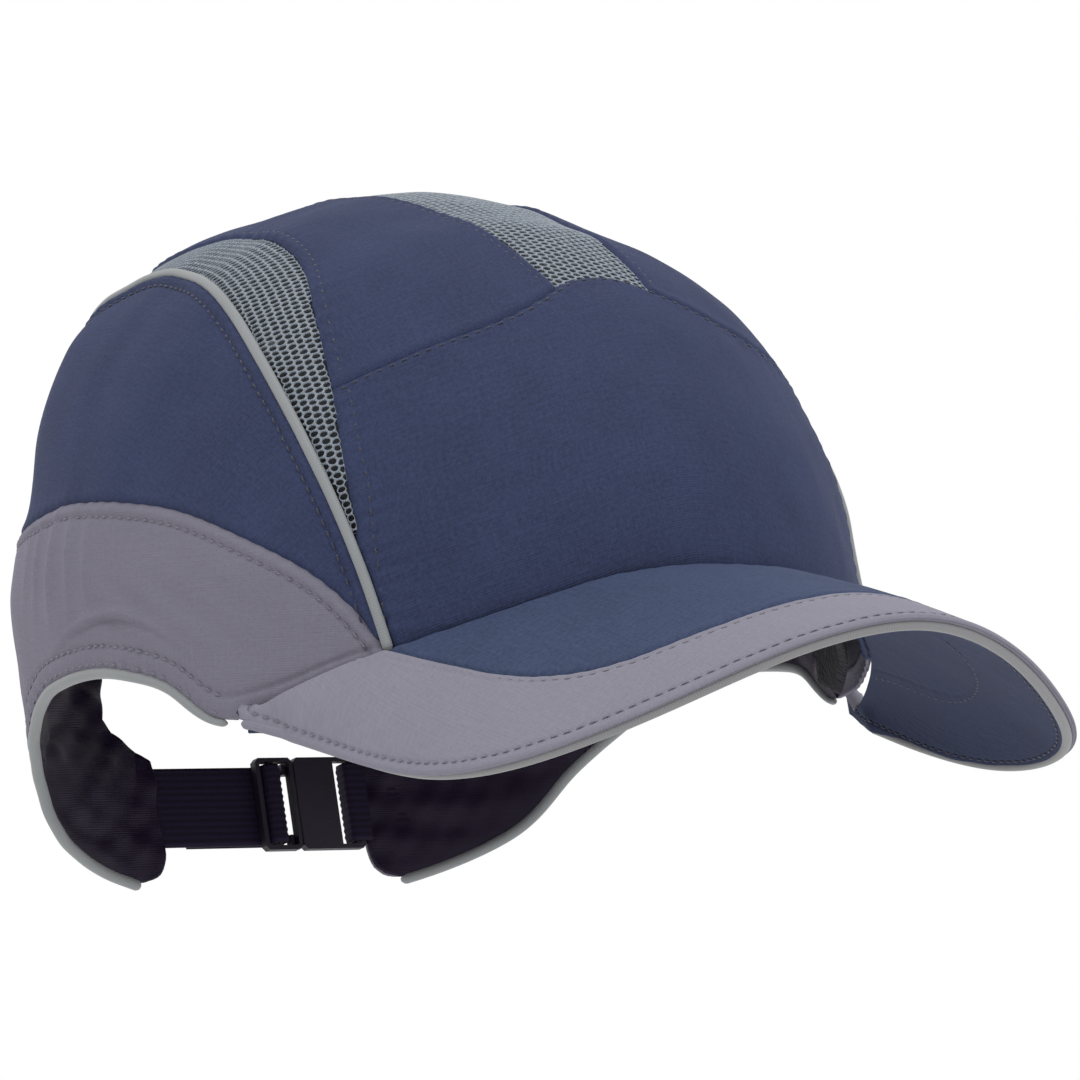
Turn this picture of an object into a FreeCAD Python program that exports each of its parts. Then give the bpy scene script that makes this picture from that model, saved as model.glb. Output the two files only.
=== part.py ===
import FreeCAD, Part
import math
import os

from FreeCAD import Vector

# Bump cap: a sewn fabric cap with a curved peak, a vented hard shell and foam pads inside, and an elastic
# strap with a two-part flat clasp across the opening at the nape.
# Millimetres. Origin at the middle of the head, level with the widest part of the crown. +Z is up, the peak
# points along -Y, and the wearer's right hand side is -X.

doc = FreeCAD.newDocument("bump_cap")

# --------------------------------------------------------------------------- driving dimensions
DIMENSIONS = {
    "crown_half_width": 90.0,
    "crown_front_depth": 115.5,
    "crown_rear_depth": 97.5,
    "crown_height": 104.0,
    "crown_lower_height": 164.0,
    "crown_lean": 0.126,
    "plan_power": 2.08,
    "side_power": 2.22,
    "nape_tuck": 0.14,
    "nape_tuck_side": 0.077,
    "fabric_thickness": 0.9,
    "seam_gap": 0.3,
    "piping_width": 2.4,
    "piping_proud": 0.9,
    "hem_piping_width": 2.8,
    "binding_width": 2.2,
    "lining_depth": 2.9,
    "lining_thickness": 0.7,
    "shell_depth": 3.2,
    "shell_thickness": 1.8,
    "pad_depth": 5.3,
    "pad_thickness": 4.0,
    "sweatband_thickness": 2.5,
    "peak_camber": 1.5,
    "peak_board_thickness": 1.6,
    "peak_fabric_thickness": 0.7,
    "peak_layer_gap": 0.2,
    "peak_binding_height": 3.8,
    "peak_binding_width": 2.3,
    "strap_width": 19.0,
    "strap_thickness": 1.4,
    "strap_tilt": 12.0,
    "strap_depth": 70.39,
    "strap_level": -34.13,
    "tab_half_gap": 30.0,
    "clasp_height": 22.4,
    "clasp_thickness": 2.2,
    "clasp_bar": 1.2,
    "slot_height": 20.2,
    "tail_length": 26.0,
    "lug_span": 19.8,
    "lug_gap": 14.6,
}

sheet = doc.addObject("Spreadsheet::Sheet", "dims")
for row, (alias, value) in enumerate(DIMENSIONS.items(), start=1):
    sheet.set(f"A{row}", alias)
    sheet.set(f"B{row}", str(value))
    sheet.setAlias(f"B{row}", alias)
doc.recompute()


def size(alias):
    """A driving dimension, read from the spreadsheet."""
    return float(sheet.get(alias))


# --------------------------------------------------------------------------- the crown's outer face
# Where the sides of the crown are drawn in towards the strap, in degrees round from the front and in height.
TUCK_AZIMUTHS = (112.0, 165.0)
TUCK_LEVELS = (10.0, -30.0)


def ease(share):
    """0 to 1 with a level start and end."""
    share = min(1.0, max(0.0, share))
    return share * share * (3.0 - 2.0 * share)


def crown_ratio(point):
    """Under 1 inside the crown, 1 on its outer face, and over 1 outside."""
    azimuth = math.degrees(math.atan2(abs(point.x), -point.y))
    tuck = ease((azimuth - TUCK_AZIMUTHS[0]) / (TUCK_AZIMUTHS[1] - TUCK_AZIMUTHS[0]))
    tuck *= ease((point.z - TUCK_LEVELS[0]) / (TUCK_LEVELS[1] - TUCK_LEVELS[0]))
    across = abs(point.x) / (1.0 - size("nape_tuck_side") * tuck) / size("crown_half_width")
    along = point.y / (1.0 - size("nape_tuck") * tuck) - size("crown_lean") * point.z
    along = abs(along) / (size("crown_front_depth") if along < 0 else size("crown_rear_depth"))
    up = abs(point.z) / (size("crown_height") if point.z > 0 else size("crown_lower_height"))
    plan = (across ** size("plan_power") + along ** size("plan_power")) ** (1.0 / size("plan_power"))
    return (plan ** size("side_power") + up ** size("side_power")) ** (1.0 / size("side_power"))


def on_crown(point):
    """The point of the crown's outer face straight out from the origin through the given point."""
    for _ in range(10):
        point = point / crown_ratio(point)
    return point


def crown_normal(point):
    """The crown's outward normal at a point of its outer face."""
    step = 0.05
    slopes = []
    for axis in (Vector(step, 0, 0), Vector(0, step, 0), Vector(0, 0, step)):
        slopes.append(crown_ratio(point + axis) - crown_ratio(point - axis))
    return Vector(*slopes).normalize()


def at(azimuth, elevation):
    """The crown's point at so many degrees round from the front, towards the wearer's right, and up."""
    turn, rise = math.radians(azimuth), math.radians(elevation)
    return on_crown(Vector(-math.sin(turn) * math.cos(rise), -math.cos(turn) * math.cos(rise), math.sin(rise)))


def solve(reach, low, high):
    """The length between low and high where reach(length) is a point of the crown's outer face."""
    for _ in range(40):
        middle = (low + high) / 2.0
        if crown_ratio(reach(middle)) < 1.0:
            low = middle
        else:
            high = middle
    return reach(middle)


def from_above(x, y):
    """The crown's point over the plan position x, y."""
    return solve(lambda length: Vector(x, y, length), 5.0, 130.0)


def from_side(y, z):
    """The crown's point at y, z on the wearer's right."""
    return solve(lambda length: Vector(-length, y, z), 5.0, 130.0)


def from_behind(x, z):
    """The crown's point at x, z on the back."""
    return solve(lambda length: Vector(x, length, z), 20.0, 130.0)


# --------------------------------------------------------------------------- lines
def smooth_line(points, count):
    """count points of the smooth curve through the given ones, at equal steps of length."""
    curve = Part.BSplineCurve()
    curve.interpolate(points)
    return curve.toShape().discretize(Number=count)


def crown_line(points, count):
    """A smooth line on the crown's outer face through the given points."""
    return [on_crown(point) for point in smooth_line(points, count)]


def mirrored(points):
    """The same line on the wearer's other side."""
    return [Vector(-point.x, point.y, point.z) for point in points]


def across_centre(points):
    """A right-hand half line that starts at the centre, joined to its mirror image: left end to right end."""
    return mirrored(points)[:0:-1] + points


def cut_ends(points, start, end, count):
    """The line without its first start and last end millimetres."""
    wire = Part.makePolygon(points)
    kept = []
    for index in range(count):
        kept.append(start + (wire.Length - start - end) * index / (count - 1))
    lengths = [0.0]
    for first, second in zip(points, points[1:]):
        lengths.append(lengths[-1] + first.distanceToPoint(second))
    line = []
    for wanted in kept:
        index = max(i for i in range(len(points) - 1) if lengths[i] <= wanted + 1e-9)
        share = (wanted - lengths[index]) / (lengths[index + 1] - lengths[index])
        line.append(points[index] + (points[index + 1] - points[index]) * share)
    return line


def shifted(points, distance):
    """The line moved sideways over the crown: to the left of its direction as seen from outside."""
    moved = []
    for index, point in enumerate(points):
        before, after = points[max(0, index - 1)], points[min(len(points) - 1, index + 1)]
        sideways = crown_normal(point).cross(after - before).normalize()
        moved.append(on_crown(point + sideways * distance))
    return moved


# --------------------------------------------------------------------------- thin solids
def face_through(grid):
    """The smooth face through a grid of points."""
    surface = Part.BSplineSurface()
    surface.interpolate(grid)
    return surface.toShape()


def rim_faces(outer, inner):
    """The faces that join the edges of two faces made from grids of the same size."""
    return [Part.makeRuledSurface(a, b) for a, b in zip(outer.Edges, inner.Edges)]


def closed(faces):
    """One solid from the faces round it."""
    shell = Part.Shell(faces)
    shell.sewShape()
    solid = Part.Solid(shell)
    if solid.Volume < 0:
        solid.reverse()
    return solid


def between(low, high, rows, outer_depth, inner_depth):
    """A layer of the crown from one line to another, between two depths under the crown's outer face."""
    outer, inner = [], []
    for first, second in zip(low, high):
        outer_row, inner_row = [], []
        for row in range(rows):
            point = on_crown(first + (second - first) * (row / (rows - 1)))
            normal = crown_normal(point)
            outer_row.append(point - normal * outer_depth)
            inner_row.append(point - normal * inner_depth)
        outer.append(outer_row)
        inner.append(inner_row)
    top, bottom = face_through(outer), face_through(inner)
    return closed([top, bottom] + rim_faces(top, bottom))


def inset(low, high, low_gap, high_gap):
    """Two facing lines, each moved towards the other by its own gap."""
    new_low, new_high = [], []
    for first, second in zip(low, high):
        direction = (second - first).normalize()
        new_low.append(on_crown(first + direction * low_gap))
        new_high.append(on_crown(second - direction * high_gap))
    return new_low, new_high


def band(line, low, high, outer_depth, inner_depth):
    """A strip along a line, from low to high millimetres beside it."""
    return between(shifted(line, low), shifted(line, high), 4, outer_depth, inner_depth)


def mirror_shape(shape):
    """The same solid on the wearer's left."""
    return shape.mirror(Vector(0, 0, 0), Vector(1, 0, 0))


# --------------------------------------------------------------------------- seam lines, wearer's right
def line_at(pairs, count):
    """A crown line through points given as degrees round from the front and up."""
    return crown_line([at(*pair) for pair in pairs], count)


HEM_UNDER_PEAK = 1.5
HALF_GAP = size("seam_gap") / 2.0 + size("piping_width") / 2.0
GAP = size("seam_gap") / 2.0
FABRIC = size("fabric_thickness")

PEAK_SEAM = [(0, 5.3), (11, 4.7), (20, 2.4), (30, -0.6), (39, -3.5), (48, -6.8), (56, -10.3)]
PIPED_SEAM = [(37.8, -3.2), (41.1, 7.1), (46.7, 19.6), (53, 29.8), (62.7, 41), (79, 51.4), (96, 55.3),
              (113, 54.6), (130, 48), (155, 41), (180, 38.5)]
MESH_SEAM = [(41.6, 11.8), (43.2, 18.8), (46, 30.9), (51.4, 44.1), (60.5, 56), (72, 61.4), (87, 64.2),
             (104, 64), (122, 59.5), (148, 51.5), (180, 48)]
ARCH_SEAM = [(0, 47.4), (6, 46.4), (12, 43.3), (20, 39.4), (30, 36.2), (38, 33.9), (46.1, 31.2)]
GREY_SEAM = [(38, -3), (41.2, 1.1), (47.2, 6.7), (56.7, 12), (69.7, 17.3), (86, 20), (100, 20.2),
             (114, 18.4), (140, 16.5), (180, 15.5)]
# The edge of the vent strip along the top, as x and y from above.
CENTRE_SEAM = [(-15.5, -42), (-17, -10), (-17, 20), (-15, 45)]
CENTRE_HALF_FRONT, CENTRE_HALF_BACK = 12.5, 12.0

# The hem over the ear and down to the nape tab, as y and z seen from the side.
HEM = [(-49, -19.6), (-43.8, -18.8), (-38.7, -16.1), (-31, -10.5), (-19, -6.6), (-4, -4.9), (12, -6.2), (25, -9.2),
       (36, -15), (45, -22), (51, -29), (56, -38), (63, -46), (69, -52)]
# The opening at the nape, as x and z seen from behind: over its top, then in to the end of the tab.
NAPE_ARCH = [(0, 11), (14, 9.8), (26, 5.5), (35, -1.5), (41, -9), (43.5, -15)]
NAPE_FLARE = [(43.5, -15), (39.5, -18.8), (34.5, -22.2), (30, -24.5)]
TAB_CORNER = [(30, -47), (31.2, -51.2), (35.5, -54)]



def nearest(points, target):
    """The index of the line's point nearest to the target."""
    return min(range(len(points)), key=lambda index: points[index].distanceToPoint(target))


def reaching(points, x):
    """The point of a line where it is x to the wearer's right."""
    return min(points, key=lambda point: abs(point.x + x))


piped_seam = line_at(PIPED_SEAM, 61)
mesh_seam = line_at(MESH_SEAM, 121)
grey_seam = line_at(GREY_SEAM, 49)
peak_seam_half = line_at(PEAK_SEAM, 61)
peak_seam = across_centre(peak_seam_half)
arch_seam = line_at(ARCH_SEAM, 61)
centre_front = reaching(arch_seam, CENTRE_HALF_FRONT)
centre_back = reaching(mesh_seam[90:], CENTRE_HALF_BACK)
centre_seam = crown_line([centre_front] + [from_above(*pair) for pair in CENTRE_SEAM] + [centre_back], 33)

# --------------------------------------------------------------------------- cutters for hem and nape opening
def hem_cutter():
    """Everything under the hem, seen from the side: a prism right across the cap."""
    lead = [Vector(0, -92, -4.5), Vector(0, -75, -11.2), Vector(0, -60, -17.3)]
    curve = Part.BSplineCurve()
    curve.interpolate(lead + [Vector(0, y, z) for y, z in HEM])
    start, end = curve.StartPoint, curve.EndPoint
    corners = [end, Vector(0, 74, -53.6), Vector(0, 125, -54), Vector(0, 125, -95), Vector(0, start.y, -95), start]
    wire = Part.Wire([curve.toShape()] + Part.makePolygon(corners).Edges)
    prism = Part.Face(wire).extrude(Vector(240, 0, 0))
    prism.translate(Vector(-120, 0, 0))
    return prism


def nape_cutter():
    """The opening between the nape tabs, seen from behind: a prism through the back of the cap."""
    def curve_through(pairs):
        curve = Part.BSplineCurve()
        curve.interpolate([Vector(x, 0, z) for x, z in pairs])
        return curve.toShape()

    left_arch = [(-x, z) for x, z in NAPE_ARCH][:0:-1]
    mirror = lambda pairs: [(-x, z) for x, z in pairs][::-1]
    arch = curve_through(left_arch + NAPE_ARCH)
    flare, corner = curve_through(NAPE_FLARE), curve_through(TAB_CORNER)
    left_flare, left_corner = curve_through(mirror(NAPE_FLARE)), curve_through(mirror(TAB_CORNER))
    foot = TAB_CORNER[-1]
    edges = [arch, flare, straight(NAPE_FLARE[-1], TAB_CORNER[0]), corner, straight(foot, (foot[0], -80))]
    edges += [straight((foot[0], -80), (-foot[0], -80)), straight((-foot[0], -80), (-foot[0], foot[1]))]
    edges += [left_corner, straight(mirror(TAB_CORNER)[-1], mirror(NAPE_FLARE)[0]), left_flare]
    prism = Part.Face(Part.Wire(edges)).extrude(Vector(0, 90, 0))
    prism.translate(Vector(0, 40, 0))
    return prism


def straight(first, second):
    """A straight edge between two x, z pairs."""
    return Part.LineSegment(Vector(first[0], 0, first[1]), Vector(second[0], 0, second[1])).toShape()


def trimmed(shape):
    """The layer without what lies under the hem or in the nape opening."""
    return shape.cut(hem).cut(nape)


hem = hem_cutter()
nape = nape_cutter()

# --------------------------------------------------------------------------- document objects
pieces = []


def keep_shape(name, shape):
    """Adds a sewn or moulded free-form piece to the document."""
    piece = doc.addObject("Part::Feature", name)
    piece.Label = name
    piece.Shape = shape
    piece.Placement = FreeCAD.Placement()
    pieces.append(piece)
    return piece


def keep_pair(name, shape):
    """Adds a piece for the wearer's right and its mirror image for the left."""
    keep_shape(name + "_right", shape)
    keep_shape(name + "_left", mirror_shape(shape))


# --------------------------------------------------------------------------- fabric panels
def patch(low, high, start, end):
    """A grid of crown points inside four lines: low and high run the same way, start and end from low to high."""
    columns, rows = len(low), len(start)
    grid = []
    for column in range(columns):
        across = column / (columns - 1)
        row_points = []
        for row in range(rows):
            up = row / (rows - 1)
            point = low[column] * (1 - up) + high[column] * up + start[row] * (1 - across) + end[row] * across
            point -= (low[0] * (1 - up) + high[0] * up) * (1 - across) + (low[-1] * (1 - up) + high[-1] * up) * across
            row_points.append(on_crown(point))
        grid.append(row_points)
    return grid


def sewn_panel(low, high, start, end):
    """A fabric panel inside four seam lines, half a seam gap short of them all round."""
    grid = patch(low, high, start, end)
    columns, rows = len(low), len(start)
    outer, inner = [], []
    for column in range(columns):
        outer_row, inner_row = [], []
        for row in range(rows):
            point = grid[column][row]
            if column in (0, columns - 1):
                inward = grid[1 if column == 0 else columns - 2][row]
                point += (inward - point).normalize() * GAP
            if row in (0, rows - 1):
                inward = grid[column][1 if row == 0 else rows - 2]
                point += (inward - point).normalize() * GAP
            point = on_crown(point)
            outer_row.append(point)
            inner_row.append(point - crown_normal(point) * FABRIC)
        outer.append(outer_row)
        inner.append(inner_row)
    top, bottom = face_through(outer), face_through(inner)
    return closed([top, bottom] + rim_faces(top, bottom))


def chord(first, last, count):
    """The shortest crown line between two points."""
    return [on_crown(first + (last - first) * (step / (count - 1))) for step in range(count)]


def part_of(points, start, end, count):
    """The part of a crown line between its points nearest to start and end, evenly spaced."""
    first, last = nearest(points, start), nearest(points, end)
    return crown_line(points[first:last + 1], count)


def front_panel():
    """The forehead panel: from the peak's seam up to the arched seam, between the two piped seams."""
    foot = shifted(part_of(piped_seam, piped_seam[0], mesh_seam[0], 9), -HALF_GAP)
    side = crown_line(foot[:-1] + part_of(mesh_seam, mesh_seam[1], arch_seam[-1], 13), 21)
    low_half = part_of(peak_seam_half, peak_seam_half[0], side[0], 15)
    low = shifted(across_centre(low_half[:-1] + [side[0]]), HEM_UNDER_PEAK)
    high_half = part_of(arch_seam, arch_seam[0], side[-1], 15)
    high = across_centre(high_half[:-1] + [side[-1]])
    right_side = crown_line([low[-1]] + side[1:], 21)
    return sewn_panel(low, high, mirrored(right_side), right_side)


def top_panel():
    """The panel beside the centre mesh: from the arched seam back to the side mesh."""
    front = part_of(arch_seam, centre_seam[0], mesh_seam[nearest(mesh_seam, arch_seam[-1])], 13)
    outer_edge = part_of(mesh_seam, arch_seam[-1], centre_seam[-1], 41)
    outer_edge = cut_ends(outer_edge, 0.0, 3.0, 41)
    inner_edge = cut_ends(centre_seam, 0.0, 3.0, 41)
    front = crown_line([outer_edge[0]] + front[-2:0:-1] + [inner_edge[0]], 13)
    return sewn_panel(outer_edge, inner_edge, front, chord(outer_edge[-1], inner_edge[-1], 13))


def top_mesh():
    """The vent strip along the top, from the arched seam to the mesh at the back."""
    front = across_centre(part_of(arch_seam, arch_seam[0], centre_seam[0], 6))
    back_half = part_of(mesh_seam, centre_seam[-1], mesh_seam[-1], 6)[::-1]
    back = across_centre(back_half)
    right = crown_line([front[-1]] + centre_seam[1:-1] + [back[-1]], 33)
    return sewn_panel(mirrored(right), right, front, back)


def side_mesh():
    """The crescent of mesh between the piped seam and the top panel, round to the centre of the back."""
    front = cut_ends(mesh_seam, 1.5, 0.0, 41)
    back = cut_ends(shifted(piped_seam[nearest(piped_seam, mesh_seam[0]):], -HALF_GAP), 1.5, 0.0, 41)
    return sewn_panel(back, front, chord(back[0], front[0], 7), chord(back[-1], front[-1], 7))


def rear_panel():
    """The panel behind the ear, from the grey panel up to the piped seam."""
    low = cut_ends(grey_seam, 6.0, 0.0, 41)
    high = cut_ends(shifted(piped_seam, HALF_GAP), 6.0, 0.0, 41)
    return sewn_panel(low, high, chord(low[0], high[0], 13), chord(low[-1], high[-1], 13))


def lower_line(count):
    """A level line under the whole lower panel, below the tab."""
    return line_at([(40, -18), (60, -34), (85, -37), (110, -38), (135, -38), (160, -38), (180, -38)], count)


def lower_panel(top, outer_depth, inner_depth):
    """The panel round the ear and down the nape tab, under the given top line."""
    high, low = inset(top, lower_line(len(top)), GAP, 0.0)
    high = cut_ends(high, 1.5, GAP, 41)
    low = cut_ends(low, 1.5, GAP, 41)
    return trimmed(between(low, high, 15, outer_depth, inner_depth))


def hem_line(count):
    """The hem over the ear, from the corner of the peak to the foot of the tab."""
    return crown_line([from_side(y, z) for y, z in HEM], count)


def nape_line(count):
    """The edge of the nape opening over its whole top, from one tab's end to the other's."""
    half = NAPE_ARCH + NAPE_FLARE[1:]
    pairs = [(-x, z) for x, z in half][:0:-1] + half
    return crown_line([from_behind(x, z) for x, z in pairs], count)


keep_shape("front_panel", front_panel())
keep_pair("top_panel", top_panel())
keep_shape("top_mesh", top_mesh())
keep_pair("side_mesh", side_mesh())
keep_pair("rear_panel", rear_panel())
keep_pair("lower_panel", lower_panel(grey_seam, 0.0, FABRIC))

# --------------------------------------------------------------------------- piping and bindings
PIPING_HALF = size("piping_width") / 2.0
crown_piping = band(cut_ends(piped_seam, 0.8, 0.2, 61), -PIPING_HALF, PIPING_HALF, -size("piping_proud"), FABRIC)
keep_pair("crown_piping", crown_piping)
hem_piping = band(hem_line(57), 0.3, size("hem_piping_width"), -0.4, 2.5)
keep_pair("hem_piping", hem_piping)
keep_shape("nape_binding", band(nape_line(61), 0.3, size("binding_width"), -0.2, 2.5))

# --------------------------------------------------------------------------- lining, shell, pads, sweatband
LINING_TOP = [(60, 3), (72, 9), (86, 11), (100, 12), (114, 11.5), (140, 13.5), (180, 15)]
SHELL_RIM = [(0, 11), (30, 8), (56, 8), (75, 12), (95, 14), (120, 14), (150, 18), (180, 19.5)]

lining_depth = size("lining_depth")
lining = lower_panel(line_at(LINING_TOP, 41), lining_depth, lining_depth + size("lining_thickness"))
keep_pair("side_lining", lining)


def shell_half(depth, right):
    """One depth of the hard shell's right or left half, from the rim to the vent at the crown."""
    rim = line_at(SHELL_RIM, 41)
    vent = line_at([(azimuth, 85) for azimuth in range(0, 181, 20)], 41)
    grid = []
    for low, high in zip(rim, vent):
        row = []
        for step in range(13):
            point = on_crown(low + (high - low) * (step / 12))
            point = point - crown_normal(point) * depth
            row.append(point if right else Vector(-point.x, point.y, point.z))
        grid.append(row)
    for row in (0, -1):
        grid[row] = [Vector(0, point.y, point.z) for point in grid[row]]
    return face_through(grid)


def slot(centre, length, width, through):
    """A round-ended slot cutter, its long side along X or Y, cut along the given direction."""
    radius = width / 2.0
    reach = (length - width) / 2.0
    along = Vector(0, 0, 1) if abs(through.x) > 0 else Vector(1, 0, 0)
    ends = [Part.makeCylinder(radius, through.Length, centre + along * side, through) for side in (-reach, reach)]
    sideways = through.cross(along).normalize()
    start = centre - along * reach - sideways * radius
    corners = [start, start + along * reach * 2, start + along * reach * 2 + sideways * width]
    corners += [start + sideways * width, start]
    block = Part.Face(Part.makePolygon(corners)).extrude(through)
    return ends[0].fuse([ends[1], block])


def bump_shell():
    """The vented hard shell: a dome open at the rim, with a round vent on top and slots over and beside it."""
    faces = []
    depths = (size("shell_depth"), size("shell_depth") + size("shell_thickness"))
    for right in (True, False):
        outer, inner = (shell_half(depth, right) for depth in depths)
        faces += [outer, inner]
        rims = rim_faces(outer, inner)
        for edge, rim in zip(outer.Edges, rims):
            middle = edge.valueAt((edge.FirstParameter + edge.LastParameter) / 2.0)
            if abs(middle.x) > 1.0:
                faces.append(rim)
    shell = closed(faces)
    cutters = []
    for y in (-48, -30, 30, 48):
        for side in (-1, 1):
            cutters.append(slot(Vector(side * 20, y, 40), 22, 6, Vector(0, 0, 80)))
    for y in (-12, 12):
        for side in (-1, 1):
            cutters.append(slot(Vector(side * 32, y, 40), 22, 6, Vector(0, 0, 80)))
    for y in (-36, -14, 8, 30):
        cutters.append(slot(Vector(-110, y, 52), 26, 6, Vector(220, 0, 0)))
    return shell.cut(cutters)


def pad(low, high, rows):
    """A foam pad stuck inside the shell."""
    depth = size("pad_depth")
    return between(low, high, rows, depth, depth + size("pad_thickness"))


def pad_strip(azimuths, low_level, high_level):
    """A pad between two levels, given as degrees round and up."""
    first, last = azimuths
    low = line_at([(first + (last - first) * step / 4, low_level) for step in range(5)], 21)
    high = line_at([(first + (last - first) * step / 4, high_level) for step in range(5)], 21)
    return pad(low, high, 7)


def crown_pad():
    """The pad under the top of the shell."""
    rows = []
    for y in (-26, 40):
        rows.append([from_above(x, y) for x in (-30, -20, -10, 0, 10, 20, 30)])
    return pad(rows[0], rows[1], 13)


def sweatband():
    """The towelling band against the forehead, over the shell's front rim."""
    low = shifted(peak_seam, 1.0)
    high = line_at([(-60, 8), (-40, 15), (-20, 19), (0, 20), (20, 19), (40, 15), (60, 8)], len(low))
    depth = size("pad_depth")
    return between(low, high, 9, depth, depth + size("sweatband_thickness"))


keep_shape("bump_shell", bump_shell())
keep_shape("front_pad", pad_strip((-42, 42), 23.5, 38))
keep_pair("side_pad", pad_strip((64, 118), 16.5, 25))
keep_shape("rear_pad", pad_strip((146, 214), 23, 36))
keep_shape("crown_pad", crown_pad())
keep_shape("sweatband", sweatband())

# --------------------------------------------------------------------------- peak
# The peak's outer edge, from the middle to the right-hand corner at the end of its seam.
PEAK_EDGE = [(0, -182, -4), (-27.6, -176.2, -9.4), (-50, -164.3, -19.5), (-68.5, -145.7, -28.8), (-76, -116.7, -32),
             (-77.4, -82.6, -26.4), (-79.6, -56, -19.6)]
# The line between the peak's centre piece and its border: share along the half seam, share out to the edge.
BORDER_LINE = [(0, 0.70), (0.2, 0.712), (0.36, 0.69), (0.46, 0.585), (0.56, 0.385), (0.66, 0.135), (0.7, 0.0)]
PEAK_COLUMNS = 61
PEAK_END = 0.965


def clear_of_crown(point, gap):
    """The point itself, or moved out to stand the gap off the crown's outer face."""
    foot = on_crown(point)
    normal = crown_normal(foot)
    return point + normal * max(0.0, gap - (point - foot).dot(normal))


def seam_clearance(column):
    """The peak lies flatter against the crown towards its corners, so it stands further off there."""
    across = abs(2.0 * column / (PEAK_COLUMNS - 1) - 1.0)
    return 0.35 + half_binding * across ** 3


half_board = size("peak_board_thickness") / 2.0
layer_low = half_board + size("peak_layer_gap")
layer_high = layer_low + size("peak_fabric_thickness")
half_binding = size("peak_binding_height") / 2.0

peak_inner = smooth_line(peak_seam, PEAK_COLUMNS)
peak_outer = smooth_line(across_centre([Vector(*corner) for corner in PEAK_EDGE]), PEAK_COLUMNS)
for column in range(PEAK_COLUMNS):
    peak_inner[column] += crown_normal(peak_inner[column]) * seam_clearance(column)
    peak_outer[column] = clear_of_crown(peak_outer[column], 0.4 + half_binding)
inner_curve = Part.BSplineCurve()
inner_curve.interpolate(peak_inner)
outer_curve = Part.BSplineCurve()
outer_curve.interpolate(peak_outer)


def along_curve(curve, share):
    """A point of an open curve by its share of the curve's parameter."""
    return curve.value(curve.FirstParameter + (curve.LastParameter - curve.FirstParameter) * share)


def peak_point(across, out):
    """A point of the peak's middle face: across is -1 at its left corner and 1 at its right, out is 0 to 1."""
    share = (1.0 + across) / 2.0
    inner, outer = along_curve(inner_curve, share), along_curve(outer_curve, share)
    camber = size("peak_camber") * 4.0 * out * (1.0 - out)
    return inner + (outer - inner) * out + Vector(0, 0, camber)


def peak_normal(across, out):
    """The peak's upward normal."""
    step = 0.01
    sideways = peak_point(min(1, across + step), out) - peak_point(max(-1, across - step), out)
    outward = peak_point(across, out + step) - peak_point(across, out - step)
    return sideways.cross(outward).normalize()


def peak_width(across):
    """How far it is from the seam to the edge."""
    return peak_point(across, 0).distanceToPoint(peak_point(across, 1))


def border_share(across):
    """Where the border starts, as a share of the way out to the edge."""
    points = smooth_line([Vector(x, y, 0) for x, y in BORDER_LINE], 81)
    across = abs(across)
    if across >= BORDER_LINE[-1][0]:
        return 0.0
    for first, second in zip(points, points[1:]):
        if second.x >= across:
            share = (across - first.x) / (second.x - first.x)
            return max(0.0, first.y + (second.y - first.y) * share)
    return 0.0


def peak_layer(start, end, reach, rows, top_lift, bottom_lift):
    """A layer of the peak between the shares start(across) and end(across), out to +-reach across."""
    top, bottom = [], []
    for column in range(PEAK_COLUMNS):
        across = reach * (2.0 * column / (PEAK_COLUMNS - 1) - 1.0)
        first, last = start(across), end(across)
        top_row, bottom_row = [], []
        for row in range(rows):
            out = first + (last - first) * row / (rows - 1)
            point, normal = peak_point(across, out), peak_normal(across, out)
            top_row.append(point + normal * top_lift)
            bottom_row.append(point + normal * bottom_lift)
        top.append(top_row)
        bottom.append(bottom_row)
    upper, lower = face_through(top), face_through(bottom)
    return closed([upper, lower] + rim_faces(upper, lower))


def seam_side(across):
    """The layers' edge at the crown."""
    return GAP / peak_width(across)


def edge_side(across):
    """The layers' edge inside the binding."""
    return 1.0 - (size("peak_binding_width") / 2.0 + GAP) / peak_width(across)


def border_side(sign):
    """The layers' edge on one side of the border line."""
    return lambda across: max(seam_side(across), border_share(across) + sign * GAP / peak_width(across))


def binding_side(sign):
    """The binding's inner or outer edge."""
    return lambda across: 1.0 + sign * size("peak_binding_width") / 2.0 / peak_width(across)


keep_shape("peak_board", peak_layer(seam_side, edge_side, PEAK_END, 9, half_board, -half_board))
keep_shape("peak_top", peak_layer(seam_side, border_side(-1), 0.66, 7, layer_high, layer_low))
keep_shape("peak_border", peak_layer(border_side(1), edge_side, PEAK_END, 7, layer_high, layer_low))
keep_shape("peak_under", peak_layer(seam_side, edge_side, PEAK_END, 9, -layer_low, -layer_high))
keep_shape("peak_binding", peak_layer(binding_side(-1), binding_side(1), PEAK_END, 4, half_binding, -half_binding))

# --------------------------------------------------------------------------- strap and clasp
# These pieces are drawn flat, X along the strap and Y out of the nape, and tilted with the nape tabs.
STRAP_TURN = "dims.strap_tilt"


def tilt(piece):
    """Puts a piece drawn about the strap's middle into its tilted place at the nape."""
    piece.setExpression("Placement.Base.y", "dims.strap_depth")
    piece.setExpression("Placement.Base.z", "dims.strap_level")
    piece.setExpression("Placement.Rotation.Angle", "-" + STRAP_TURN)


def origin_plane(body, role):
    """One of a body's own origin planes."""
    return next(feature for feature in body.Origin.OriginFeatures if feature.Role == role)


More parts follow.
